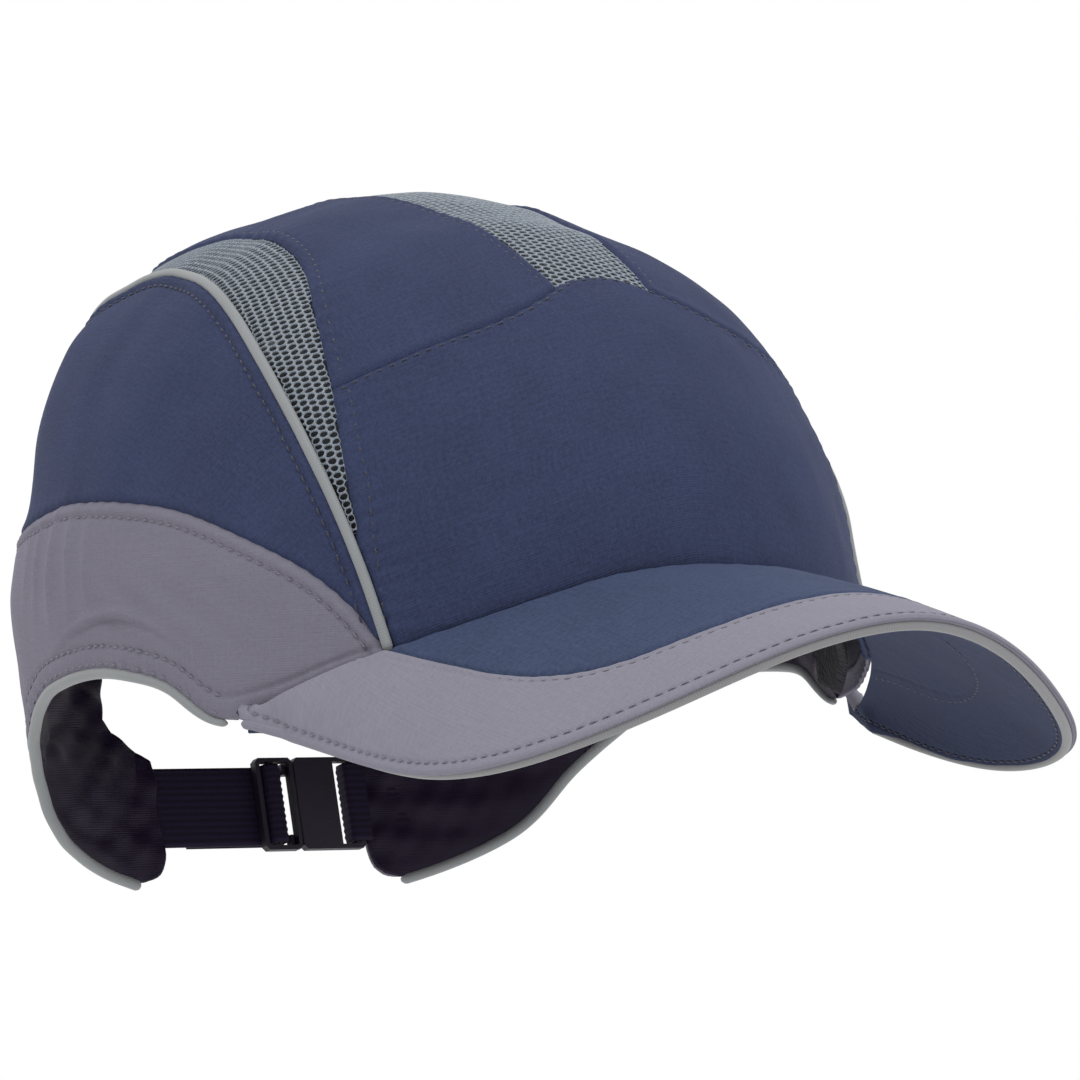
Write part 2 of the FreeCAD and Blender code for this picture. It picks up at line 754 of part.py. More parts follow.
def padded_body(name, outlines, plane, height):
    """A body padded both ways from a flat sketch of closed outlines, each a list of corners."""
    body = doc.addObject("PartDesign::Body", name)
    body.Label = name
    body.Placement = FreeCAD.Placement(Vector(0, 0, 0), FreeCAD.Rotation(Vector(1, 0, 0), 0))
    sketch = body.newObject("Sketcher::SketchObject", name + "_outline")
    sketch.AttachmentSupport = [(origin_plane(body, plane), "")]
    sketch.MapMode = "FlatFace"
    for corners in outlines:
        for (x0, y0), (x1, y1) in zip(corners, corners[1:] + corners[:1]):
            sketch.addGeometry(Part.LineSegment(Vector(x0, y0, 0), Vector(x1, y1, 0)), False)
    pad_feature = body.newObject("PartDesign::Pad", name + "_pad")
    pad_feature.Profile = sketch
    pad_feature.Midplane = True
    pad_feature.setExpression("Length", height)
    tilt(body)
    return body


def ribbon(centre, thickness):
    """The outline of a ribbon seen on edge, from the corners of its middle line."""
    sides = ([], [])
    for index, (x, y) in enumerate(centre):
        before, after = centre[max(0, index - 1)], centre[min(len(centre) - 1, index + 1)]
        first = Vector(x - before[0], y - before[1], 0)
        second = Vector(after[0] - x, after[1] - y, 0)
        first = second if first.Length == 0 else first
        second = first if second.Length == 0 else second
        first.normalize()
        second.normalize()
        middle = (first + second).normalize()
        reach = thickness / 2.0 / max(0.5, middle.dot(first))
        sides[0].append((x - middle.y * reach, y + middle.x * reach))
        sides[1].append((x + middle.y * reach, y - middle.x * reach))
    return sides[0] + sides[1][::-1]


def rectangle(x0, x1, y0, y1):
    """The corners of a rectangle."""
    return [(x0, y0), (x1, y0), (x1, y1), (x0, y1)]


def octagon(x0, x1, half_height, chamfer):
    """A rectangle about the strap's middle with its corners cut off."""
    return [(x0 + chamfer, -half_height), (x1 - chamfer, -half_height), (x1, -half_height + chamfer),
            (x1, half_height - chamfer), (x1 - chamfer, half_height), (x0 + chamfer, half_height),
            (x0, half_height - chamfer), (x0, -half_height + chamfer)]


STRAP = size("strap_thickness")
BAR = size("clasp_bar")
HALF_CLASP = size("clasp_thickness") / 2.0
HALF_HEIGHT = size("clasp_height") / 2.0
HALF_SLOT = size("slot_height") / 2.0
TAB = size("tab_half_gap")
# How far short of the tabs' ends the straps are free to bend, and how far out they lie from the clasp's middle.
STRAP_FOOT = 1.7
STRAP_PLANE = 2.1
OVER_BAR = -(HALF_CLASP + STRAP / 2.0 + 0.25)
TAIL_PLANE = STRAP_PLANE + STRAP + 0.35
SEWN_IN = 13.0

# Along the strap: the frame's left side, its two slots with the middle bar between them, and its catch bar.
FRAME_LEFT = -1.6
SLOT_ONE = (FRAME_LEFT + BAR, 2.4)
SLOT_TWO = (SLOT_ONE[1] + 1.0, 7.8)
FRAME_RIGHT = SLOT_TWO[1] + 1.0
# The hook half: its plate, the slot for the webbing, and the outer bar.
PLATE_LEFT = FRAME_RIGHT + 0.35
PLATE_SLOT = (20.2, 25.4)
PLATE_RIGHT = PLATE_SLOT[1] + 1.4


def clasp_frame():
    """The adjuster half: a flat frame with two slots and a middle bar."""
    outlines = [octagon(FRAME_LEFT, FRAME_RIGHT, HALF_HEIGHT, 1.0)]
    for left, right in (SLOT_ONE, SLOT_TWO):
        outlines.append(rectangle(left, right, -HALF_SLOT, HALF_SLOT))
    return padded_body("clasp_frame", outlines, "XZ_Plane", "dims.clasp_thickness")


def hook_plate():
    """The hook half's plate, with a slot for the webbing."""
    outlines = [octagon(PLATE_LEFT, PLATE_RIGHT, HALF_HEIGHT, 1.0)]
    outlines.append(rectangle(PLATE_SLOT[0], PLATE_SLOT[1], -HALF_SLOT, HALF_SLOT))
    return padded_body("hook_plate", outlines, "XZ_Plane", "dims.clasp_thickness")


def hook_tongue():
    """The hook half's two lugs: they lap over the frame's catch bar and dip into the ends of the second slot."""
    inner, outer = HALF_CLASP + 0.25, HALF_CLASP + 1.35
    lip_left, lip_right = SLOT_TWO[1] - 1.3, SLOT_TWO[1] - 0.35
    profile = [(lip_left, 0.3), (lip_right, 0.3), (lip_right, inner), (PLATE_LEFT + 0.3, inner)]
    profile += [(PLATE_LEFT + 0.3, 0.5), (PLATE_LEFT + 3.0, 0.5), (PLATE_LEFT + 3.0, HALF_CLASP)]
    profile += [(PLATE_LEFT + 2.2, outer), (lip_left, outer)]
    opening = rectangle(lip_left - 1.0, PLATE_LEFT + 0.6, 0.0, outer + 1.0)
    lugs = doc.addObject("Part::Cut", "hook_lugs")
    lugs.Base = padded_body("hook_lip", [profile], "XY_Plane", "dims.lug_span")
    lugs.Tool = padded_body("hook_lip_gap", [opening], "XY_Plane", "dims.lug_gap")
    return lugs


def elastic_strap():
    """The elastic from the right-hand tab, in through the frame, over its middle bar and out again."""
    enter, leave = SLOT_ONE[0] + 0.6, SLOT_TWO[0] + 0.9
    middle_line = [(STRAP_FOOT - TAB, STRAP_PLANE), (enter, STRAP_PLANE), (enter + 1.0, OVER_BAR)]
    middle_line += [(leave - 0.55, OVER_BAR), (leave, OVER_BAR + 1.15), (leave, STRAP_PLANE)]
    return padded_body("elastic_strap", [ribbon(middle_line, STRAP)], "XY_Plane", "dims.strap_width")


def left_webbing():
    """The short webbing from the left-hand tab, round the hook half's outer bar and back on itself."""
    turn = PLATE_SLOT[1] - 1.1
    middle_line = [(TAB - STRAP_FOOT, STRAP_PLANE), (turn + 0.3, STRAP_PLANE), (turn, OVER_BAR), (TAB - 2.0, OVER_BAR)]
    return padded_body("left_webbing", [ribbon(middle_line, STRAP)], "XY_Plane", "dims.strap_width")


clasp_hook = doc.addObject("Part::MultiFuse", "clasp_hook")
clasp_hook.Label = "clasp_hook"
clasp_hook.Shapes = [hook_plate(), hook_tongue()]
pieces += [clasp_frame(), clasp_hook, elastic_strap(), left_webbing()]
tail_end = SLOT_TWO[0] + 2.0
tail = rectangle(tail_end - size("tail_length"), tail_end, TAIL_PLANE - STRAP / 2.0, TAIL_PLANE + STRAP / 2.0)
pieces.append(padded_body("strap_tail", [tail], "XY_Plane", "dims.strap_width"))


def sewn_root():
    """The end of the strap that is sewn into the right-hand tab, between its fabric and its lining."""
    half = (size("strap_width") / 2.0 - 0.2) * math.cos(math.radians(size("strap_tilt")))
    level = size("strap_level")
    reach = [-TAB - 1.0 - SEWN_IN * step / 12 for step in range(13)]
    low = [from_behind(x, level - half) for x in reach]
    high = [from_behind(x, level + half) for x in reach]
    return between(low, high, 7, FABRIC + 0.3, FABRIC + 0.3 + STRAP)


root = sewn_root()
keep_shape("elastic_root", root)
keep_shape("webbing_root", mirror_shape(root))

# --------------------------------------------------------------------------- checks and files
doc.recompute()
for item in doc.Objects:
    if "Invalid" in item.State or "Error" in item.State:
        raise RuntimeError(f"{item.Label} did not rebuild: {item.State}")
os.makedirs("parts", exist_ok=True)
for piece in pieces:
    shape = piece.Shape
    if shape.isNull() or not shape.isValid() or not shape.Solids:
        raise RuntimeError(f"{piece.Label} is not a valid solid")
    shape.exportStep(os.path.join("parts", piece.Label + ".step"))
    box = shape.BoundBox
    print(f"{piece.Label:20s} {len(shape.Solids)} solid, {shape.Volume / 1000:8.2f} cm3,"
          f" x {box.XMin:.1f} {box.XMax:.1f}, y {box.YMin:.1f} {box.YMax:.1f}, z {box.ZMin:.1f} {box.ZMax:.1f}")
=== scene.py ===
import math

import bpy
import numpy as np
from mathutils import Matrix, Vector


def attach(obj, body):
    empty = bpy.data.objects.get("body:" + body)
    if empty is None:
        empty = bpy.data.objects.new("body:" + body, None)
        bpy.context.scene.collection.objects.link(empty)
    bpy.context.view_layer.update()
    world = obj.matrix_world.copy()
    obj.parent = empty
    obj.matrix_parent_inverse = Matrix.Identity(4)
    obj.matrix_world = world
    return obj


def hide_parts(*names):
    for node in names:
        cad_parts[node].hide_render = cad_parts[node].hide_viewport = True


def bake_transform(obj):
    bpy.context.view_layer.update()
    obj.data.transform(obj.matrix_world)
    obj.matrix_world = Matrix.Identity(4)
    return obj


# Bump cap. The shape is worked out in millimetres on the same crown as the CAD model, and turned into metres
# when a mesh is made. +Z is up, the peak points along -Y, and the wearer's right is -X.

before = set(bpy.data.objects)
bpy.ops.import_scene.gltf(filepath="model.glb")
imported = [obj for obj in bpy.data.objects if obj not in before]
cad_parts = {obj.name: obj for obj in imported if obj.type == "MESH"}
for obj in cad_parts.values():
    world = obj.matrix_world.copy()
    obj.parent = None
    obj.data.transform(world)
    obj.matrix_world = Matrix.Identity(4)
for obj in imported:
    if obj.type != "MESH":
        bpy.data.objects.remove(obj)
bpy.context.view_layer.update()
MM = 0.001


# --------------------------------------------------------------------------- the crown's outer face
CROWN_HALF_WIDTH, CROWN_FRONT, CROWN_REAR = 90.0, 115.5, 97.5
CROWN_HEIGHT, CROWN_LOWER = 104.0, 164.0
PLAN_POWER, SIDE_POWER, LEAN = 2.08, 2.22, 0.126
TUCK, TUCK_SIDE = 0.14, 0.077
TUCK_AZIMUTHS, TUCK_LEVELS = (112.0, 165.0), (10.0, -30.0)


def ease(share):
    """0 to 1 with a level start and end."""
    share = np.clip(share, 0.0, 1.0)
    return share * share * (3.0 - 2.0 * share)


def crown_ratio(points):
    """Under 1 inside the crown, 1 on its outer face, and over 1 outside."""
    x, y, z = points[..., 0], points[..., 1], points[..., 2]
    azimuth = np.degrees(np.arctan2(np.abs(x), -y))
    tuck = ease((azimuth - TUCK_AZIMUTHS[0]) / (TUCK_AZIMUTHS[1] - TUCK_AZIMUTHS[0]))
    tuck = tuck * ease((z - TUCK_LEVELS[0]) / (TUCK_LEVELS[1] - TUCK_LEVELS[0]))
    across = np.abs(x) / (1.0 - TUCK_SIDE * tuck) / CROWN_HALF_WIDTH
    along = y / (1.0 - TUCK * tuck) - LEAN * z
    along = np.abs(along) / np.where(along < 0, CROWN_FRONT, CROWN_REAR)
    up = np.abs(z) / np.where(z > 0, CROWN_HEIGHT, CROWN_LOWER)
    plan = (across**PLAN_POWER + along**PLAN_POWER) ** (1.0 / PLAN_POWER)
    return (plan**SIDE_POWER + up**SIDE_POWER) ** (1.0 / SIDE_POWER)


def on_crown(points):
    """The crown's points straight out from the origin through the given ones."""
    points = np.asarray(points, float)
    for _ in range(10):
        points = points / crown_ratio(points)[..., None]
    return points


def crown_normal(points):
    """The crown's outward normals at points of its outer face."""
    steps = np.eye(3) * 0.05
    slopes = [crown_ratio(points + step) - crown_ratio(points - step) for step in steps]
    return unit(np.stack(slopes, -1))


def unit(vectors):
    return vectors / np.maximum(np.linalg.norm(vectors, axis=-1, keepdims=True), 1e-12)


def at(azimuth, elevation):
    """Crown points at degrees round from the front, towards the wearer's right, and up."""
    turn, rise = np.radians(azimuth), np.radians(elevation)
    return on_crown(np.stack([-np.sin(turn) * np.cos(rise), -np.cos(turn) * np.cos(rise), np.sin(rise)], -1))


def solve(reach, low, high):
    """The point reach(length) of the crown's outer face for a length between low and high."""
    for _ in range(40):
        middle = (low + high) / 2.0
        if crown_ratio(reach(middle)) < 1.0:
            low = middle
        else:
            high = middle
    return reach(middle)


def from_above(x, y):
    return solve(lambda length: np.array([x, y, length]), 5.0, 130.0)


def from_side(y, z):
    return solve(lambda length: np.array([-length, y, z]), 5.0, 130.0)


def from_behind(x, z):
    return solve(lambda length: np.array([x, length, z]), 20.0, 130.0)


# --------------------------------------------------------------------------- lines
def cubic_through(knots, values, wanted):
    """The natural cubic spline through values at knots, read at the wanted places."""
    count = len(knots)
    step = np.diff(knots)
    system, right = np.eye(count), np.zeros_like(values)
    for i in range(1, count - 1):
        system[i, i - 1 : i + 2] = step[i - 1], 2.0 * (step[i - 1] + step[i]), step[i]
        right[i] = 3.0 * ((values[i + 1] - values[i]) / step[i] - (values[i] - values[i - 1]) / step[i - 1])
    square = np.linalg.solve(system, right)
    slope = np.diff(values, axis=0) / step[:, None] - step[:, None] * (2.0 * square[:-1] + square[1:]) / 3.0
    cube = np.diff(square, axis=0) / (3.0 * step[:, None])
    piece = np.clip(np.searchsorted(knots, wanted) - 1, 0, count - 2)
    t = (wanted - knots[piece])[:, None]
    return values[piece] + slope[piece] * t + square[piece] * t**2 + cube[piece] * t**3


def lengths(points):
    """Distance along a line from its first point to each of its points."""
    return np.concatenate([[0.0], np.cumsum(np.linalg.norm(np.diff(points, axis=0), axis=1))])


def read_along(wanted, run, points):
    """Points read off a line at the wanted places, where run holds the place of each of its points."""
    return np.stack([np.interp(wanted, run, points[:, axis]) for axis in range(3)], -1)


def resample(points, count, start=0.0, end=0.0):
    """The line at even steps, without its first start and last end millimetres."""
    points = np.asarray(points, float)
    run = lengths(points)
    return read_along(np.linspace(start, run[-1] - end, count), run, points)


def smooth_line(points, count):
    """The smooth curve through the given points, at even steps."""
    points = np.asarray(points, float)
    knots = lengths(points)
    fine = cubic_through(knots, points, np.linspace(0.0, knots[-1], 20 * len(points)))
    return resample(fine, count)


def crown_line(points, count):
    return on_crown(smooth_line(points, count))


def line_at(pairs, count):
    """A crown line through points given as degrees round from the front and up."""
    return crown_line([at(*pair) for pair in pairs], count)


def mirrored(points):
    """The same points on the wearer's other side."""
    return np.asarray(points) * np.array([-1.0, 1.0, 1.0])


def across_centre(points):
    """A right-hand half line that starts at the centre, joined to its mirror image: left end to right end."""
    return np.concatenate([mirrored(points)[:0:-1], points])


def directions(points):
    return unit(np.gradient(points, axis=0))


def shifted(points, distance):
    """The line moved sideways over the crown: to the left of its direction as seen from outside."""
    sideways = unit(np.cross(crown_normal(points), directions(points)))
    return on_crown(points + sideways * distance)


def nearest(points, target):
    return int(np.argmin(np.linalg.norm(points - target, axis=1)))


def chord(first, last, count):
    return on_crown(first + (last - first) * np.linspace(0.0, 1.0, count)[:, None])


def joined(*lines, count):
    """One crown line through several, at even steps."""
    return on_crown(resample(np.concatenate([np.atleast_2d(line) for line in lines]), count))


# --------------------------------------------------------------------------- seam lines, wearer's right
PEAK_SEAM = [(0, 5.3), (11, 4.7), (20, 2.4), (30, -0.6), (39, -3.5), (48, -6.8), (56, -10.3)]
PIPED_SEAM = [(37.8, -3.2), (41.1, 7.1), (46.7, 19.6), (53, 29.8), (62.7, 41), (79, 51.4), (96, 55.3),
              (113, 54.6), (130, 48), (155, 41), (180, 38.5)]
MESH_SEAM = [(41.6, 11.8), (43.2, 18.8), (46, 30.9), (51.4, 44.1), (60.5, 56), (72, 61.4), (87, 64.2),
             (104, 64), (122, 59.5), (148, 51.5), (180, 48)]
ARCH_SEAM = [(0, 47.4), (6, 46.4), (12, 43.3), (20, 39.4), (30, 36.2), (38, 33.9), (46.1, 31.2)]
GREY_SEAM = [(38, -3), (41.2, 1.1), (47.2, 6.7), (56.7, 12), (69.7, 17.3), (86, 20), (100, 20.2),
             (114, 18.4), (140, 16.5), (180, 15.5)]
LINING_TOP = [(60, 3), (72, 9), (86, 11), (100, 12), (114, 11.5), (140, 13.5), (180, 15)]
# The edge of the vent strip along the top, as x and y from above, and its half width at each end.
CENTRE_SEAM = [(-15.5, -42), (-17, -10), (-17, 20), (-15, 45)]
CENTRE_HALF_FRONT, CENTRE_HALF_BACK = 12.5, 12.0
# The hem over the ear and down to the nape tab, as y and z seen from the side.
HEM_LEAD = [(-75, -11.2), (-60, -17.3)]
HEM = [(-49, -19.6), (-43.8, -18.8), (-38.7, -16.1), (-31, -10.5), (-19, -6.6), (-4, -4.9), (12, -6.2),
       (25, -9.2), (36, -15), (45, -22), (51, -29), (56, -38), (63, -46), (69, -52)]
# The nape opening, as x and z seen from behind: over its top, in along the tab, and down the tab's end.
NAPE_ARCH = [(0, 11), (14, 9.8), (26, 5.5), (35, -1.5), (41, -9), (43.5, -15)]
NAPE_FLARE = [(43.5, -15), (39.5, -18.8), (34.5, -22.2), (30, -24.5)]
TAB_END = [(30, -24.5), (30, -36), (30, -46), (31.8, -50.5)]

piped_seam = line_at(PIPED_SEAM, 241)
mesh_seam = line_at(MESH_SEAM, 241)
grey_seam = line_at(GREY_SEAM, 241)
peak_half = line_at(PEAK_SEAM, 121)
arch_seam = line_at(ARCH_SEAM, 121)
centre_front = arch_seam[np.argmin(np.abs(arch_seam[:, 0] + CENTRE_HALF_FRONT))]
centre_back = mesh_seam[180:][np.argmin(np.abs(mesh_seam[180:, 0] + CENTRE_HALF_BACK))]
centre_seam = crown_line([centre_front] + [from_above(*pair) for pair in CENTRE_SEAM] + [centre_back], 161)
hem_line = crown_line([from_side(y, z) for y, z in HEM], 241)
under_peak = crown_line([at(38.3, -4.6)] + [from_side(y, z) for y, z in HEM_LEAD + HEM[:1]], 61)
nape_arch = crown_line([from_behind(-x, z) for x, z in NAPE_ARCH], 81)
nape_flare = crown_line([from_behind(-x, z) for x, z in NAPE_FLARE], 41)
tab_end = crown_line([from_behind(-x, z) for x, z in TAB_END] + [hem_line[-1]], 81)


# --------------------------------------------------------------------------- drape of the cloth
# Soft places where the cloth stands off or sinks against the smooth crown:
# degrees round and up, millimetres out, and how far it reaches in degrees round and up.
DRAPE = [(128, 43, 2.0, 16, 9), (127, 22, -1.9, 22, 6), (126, 8, 0.7, 20, 6), (128, 70, -1.2, 40, 7),
         (-38, 66, -1.3, 22, 6), (-37, 42, 0.9, 14, 8), (-39, 8, -0.9, 12, 7), (0, 84, 1.0, 90, 5),
         (75, -2, 0.6, 14, 5), (24, 30, 0.5, 16, 12), (0, 14, -0.5, 20, 5), (60, 8, 0.6, 10, 6)]


def waves(points, wavelength, seed, count=7):
    """Smooth irregular waves through space, from about -1 to 1."""
    dice = np.random.default_rng(seed)
    total = np.zeros(points.shape[:-1])
    for _ in range(count):
        heading = unit(dice.normal(size=3))
        stretch = wavelength * dice.uniform(0.7, 1.5)
        total += np.sin(points @ heading * (2.0 * math.pi / stretch) + dice.uniform(0.0, 2.0 * math.pi))
    return total / math.sqrt(count)


def drape(points):
    """How far the cloth stands off the smooth crown at its points, in millimetres."""
    azimuth = np.degrees(np.arctan2(-points[..., 0], -points[..., 1]))
    elevation = np.degrees(np.arctan2(points[..., 2], np.hypot(points[..., 0], points[..., 1])))
    rise = 0.26 * waves(points, 34.0, 3) + 0.10 * waves(points, 13.0, 4)
    for around, up, height, reach_around, reach_up in DRAPE:
        turn = (azimuth - around + 180.0) % 360.0 - 180.0
        rise = rise + height * np.exp(-((turn / reach_around) ** 2) - ((elevation - up) / reach_up) ** 2)
    return rise


def draped(points, lift=0.0):
    """Crown points moved out by the drape and a further lift."""
    return points + crown_normal(points) * (drape(points) + lift)[..., None]


# --------------------------------------------------------------------------- meshes
def make_mesh(name, points, faces, material, cloth=None):
    """A smooth-shaded object from millimetre points. cloth holds each point's place along its cut cloth."""
    mesh = bpy.data.meshes.new(name)
    mesh.from_pydata((np.asarray(points) * MM).tolist(), [], [list(face) for face in faces])
    mesh.polygons.foreach_set("use_smooth", [True] * len(mesh.polygons))
    if cloth is not None:
        places = mesh.attributes.new("cloth", "FLOAT_VECTOR", "POINT")
        places.data.foreach_set("vector", np.asarray(cloth, np.float32).ravel())
    mesh.materials.append(material)
    mesh.validate()
    mesh.update()
    piece = bpy.data.objects.new(name, mesh)
    bpy.context.scene.collection.objects.link(piece)
    return piece


def grid_quads(columns, rows, first=0):
    """The quads of a grid whose points are numbered column by column."""
    corner = (np.arange(columns - 1)[:, None] * rows + np.arange(rows - 1)[None, :]).ravel() + first
    return np.stack([corner, corner + rows, corner + rows + 1, corner + 1], -1)


def welded(blocks):
    """Several grids (points, cloth) as one sheet, joined where their points meet."""
    points = np.concatenate([block[0].reshape(-1, 3) for block in blocks])
    cloth = np.concatenate([block[1].reshape(-1, 3) for block in blocks])
    quads, first = [], 0
    for block in blocks:
        columns, rows = block[0].shape[:2]
        quads.append(grid_quads(columns, rows, first))
        first += columns * rows
    quads = np.concatenate(quads)
    _, keep, index = np.unique(np.round(points, 2), axis=0, return_index=True, return_inverse=True)
    return points[keep], cloth[keep], index.reshape(-1)[quads]


def open_edges(faces):
    """The edges that only one face uses, in the direction of that face."""
    around = faces.shape[1]
    edges = np.concatenate([faces[:, [i, (i + 1) % around]] for i in range(around)])
    _, index, uses = np.unique(np.sort(edges, axis=1), axis=0, return_inverse=True, return_counts=True)
    return edges[uses[index.reshape(-1)] == 1]


def edge_wall(rim, count):
    """Faces from the rim's points to the points count further on."""
    return np.stack([rim[:, 1], rim[:, 0], rim[:, 0] + count, rim[:, 1] + count], -1)


def two_sided(quads, count):
    """The quads, the same ones turned over on the points count further on, and the wall between them."""
    return np.concatenate([quads, quads[:, ::-1] + count, edge_wall(open_edges(quads), count)])


def sheet_solid(points, normals, quads, thickness, roll=0.35):
    """A sheet given thickness on its inner side, its edges rounded: points, faces and source points."""
    count = len(points)
    a, b, c = points[quads[:, 0]], points[quads[:, 1]], points[quads[:, 2]]
    facing = np.einsum("ij,ij->i", np.cross(b - a, c - a), normals[quads[:, 0]])
    if facing.sum() < 0:
        quads = quads[:, ::-1]
    rim = open_edges(quads)
    outward = np.zeros_like(points)
    for first, second in ((0, 1), (1, 0)):
        along = points[rim[:, 1]] - points[rim[:, 0]]
        np.add.at(outward, rim[:, first], np.cross(along, normals[rim[:, first]]))
    outward = unit(outward)
    border = np.unique(rim)
    middle = np.full(count, -1)
    middle[border] = 2 * count + np.arange(len(border))
    ring = points[border] + outward[border] * roll - normals[border] * thickness / 2.0
    solid = np.concatenate([points, points - normals * thickness, ring])
    sides = np.concatenate([
        np.stack([rim[:, 1], rim[:, 0], middle[rim[:, 0]], middle[rim[:, 1]]], -1),
        np.stack([middle[rim[:, 1]], middle[rim[:, 0]], rim[:, 0] + count, rim[:, 1] + count], -1),
    ])
    faces = np.concatenate([quads, quads[:, ::-1] + count, sides])
    return solid, faces, np.concatenate([np.arange(count), np.arange(count), border])


def patch(low, high, start, end):
    """Crown points inside four lines: low and high run the same way, start and end go from low to high."""
    columns, rows = len(low), len(start)
    across, up = np.linspace(0, 1, columns)[:, None, None], np.linspace(0, 1, rows)[None, :, None]
    grid = low[:, None] * (1 - up) + high[:, None] * up + start[None] * (1 - across) + end[None] * across
    corners = low[0] * (1 - up) * (1 - across) + high[0] * up * (1 - across)
    corners = corners + low[-1] * (1 - up) * across + high[-1] * up * across
    return on_crown(grid - corners)


def strip(low, high, rows):
    """A grid of crown points between two lines that run the same way."""
    return patch(low, high, chord(low[0], high[0], rows), chord(low[-1], high[-1], rows))


def spans(grid):
    """Millimetres along the columns and along the rows of a grid, from its first row and column."""
    along = np.concatenate([np.zeros((1, grid.shape[1])),
                            np.cumsum(np.linalg.norm(np.diff(grid, axis=0), axis=2), axis=0)])
    up = np.concatenate([np.zeros((grid.shape[0], 1)),
                         np.cumsum(np.linalg.norm(np.diff(grid, axis=1), axis=2), axis=1)], axis=1)
    return along, up


def bump(distance, centre, width):
    """A smooth bump of height 1."""
    return np.exp(-(((distance - centre) / width) ** 2))


def seam_edge(distance):
    """The cloth dips into a seam and swells beside it."""
    return -0.55 * bump(distance, 0.0, 0.55) + 0.18 * bump(distance, 1.9, 1.3)


def stitch_line(distance, where):
    """The furrow that a row of stitches draws in the cloth."""
    return -0.22 * bump(distance, where, 0.55) + 0.08 * bump(distance, where - 1.4, 0.9)


def puckers(run, distance, pitch, reach, depth, seed):
    """Small irregular ripples that run out from a seam."""
    dice = np.random.default_rng(seed)
    phase = sum(dice.uniform(0.5, 1.6) * np.sin(run / dice.uniform(9, 40) + dice.uniform(0, 6))
                for _ in range(4))
    strength = 0.6 + 0.4 * np.sin(run / dice.uniform(8, 16) + dice.uniform(0, 6))
    ripples = np.sin(2.0 * math.pi * run / pitch + phase)
    return depth * strength * ripples * np.exp(-np.maximum(distance, 0) / reach)


def sheet_from(name, blocks, thickness, material, roll=0.35):
    """A cloth piece from grids of (points, normals, millimetres out, cloth places)."""
    points, cloth, quads = welded([(block[0] + block[1] * block[2][..., None], block[3]) for block in blocks])
    base, normals, _ = welded([(block[0] + block[1] * block[2][..., None], block[1]) for block in blocks])
    solid, faces, source = sheet_solid(points, unit(normals), quads, thickness, roll)
    return make_mesh(name, solid, faces, material, cloth[source])


def cloth_block(grid, rise):
    """One block of a piece lying on the crown's outer face, with its own rise and the drape."""
    along, up = spans(grid)
    middle = up[:, up.shape[1] // 2]
    places = np.stack([along[:, :1] + np.zeros_like(up), up - middle[:, None], np.zeros_like(up)], -1)
    return grid, crown_normal(grid), rise + drape(grid), places


def tube(points, normals, half_width, half_height, sides=10, taper=2):
    """A closed oval tube along a line, its width square to the line and its height along normals."""
    points, normals = np.asarray(points, float), np.asarray(normals, float)
    count = len(points)
    sideways = unit(np.cross(normals, directions(points)))
    turn = np.linspace(0.0, 2.0 * math.pi, sides, endpoint=False)
    size = np.ones(count)
    for step in range(taper):
        size[step] = size[-1 - step] = math.sin(math.pi / 2.0 * (step + 0.6) / (taper + 0.6))
    size = size[:, None, None]
    half_width, half_height = np.broadcast_to(half_width, count), np.broadcast_to(half_height, count)
    rings = points[:, None] + size * (
        sideways[:, None] * (half_width[:, None] * np.cos(turn))[..., None]
        + normals[:, None] * (half_height[:, None] * np.sin(turn))[..., None]
    )
    base = np.arange(count - 1)[:, None] * sides + np.arange(sides)[None, :]
    after = np.arange(count - 1)[:, None] * sides + (np.arange(sides)[None, :] + 1) % sides
    faces = np.stack([base, after, after + sides, base + sides], -1).reshape(-1, 4).tolist()
    faces += [list(range(sides))[::-1], [(count - 1) * sides + i for i in range(sides)]]
    run = lengths(points)
    girth = turn * float(np.mean(half_width) + np.mean(half_height)) / 2.0
    cloth = np.stack([np.broadcast_to(run[:, None], (count, sides)), np.broadcast_to(girth, (count, sides)),
                      np.zeros((count, sides))], -1)
    return rings.reshape(-1, 3), faces, cloth.reshape(-1, 3)


def merged(parts):
    """Several (points, faces, cloth) as one."""
    points, faces, cloth, first = [], [], [], 0
    for part_points, part_faces, part_cloth in parts:
        points.append(part_points)
        cloth.append(part_cloth)
        faces += [[index + first for index in face] for face in part_faces]
        first += len(part_points)
    return np.concatenate(points), faces, np.concatenate(cloth)


def stitches(line, normals, pitch=2.9, length=2.05, radius=0.27, sink=0.28):
    """A row of separate stitches along a line."""
    run = lengths(line)
    count = max(2, int(run[-1] / pitch))
    parts = []
    for step in range(count):
        wanted = (step + 0.5) * run[-1] / count + np.linspace(-0.5, 0.5, 5) * length
        spot = read_along(wanted, run, line)
        facing = unit(read_along(wanted, run, normals))
        spot = spot - facing * (sink * np.array([1.0, 0.15, 0.0, 0.15, 1.0]))[:, None]
        parts.append(tube(spot, facing, radius, radius * 0.8, sides=6, taper=1))
    return merged(parts)


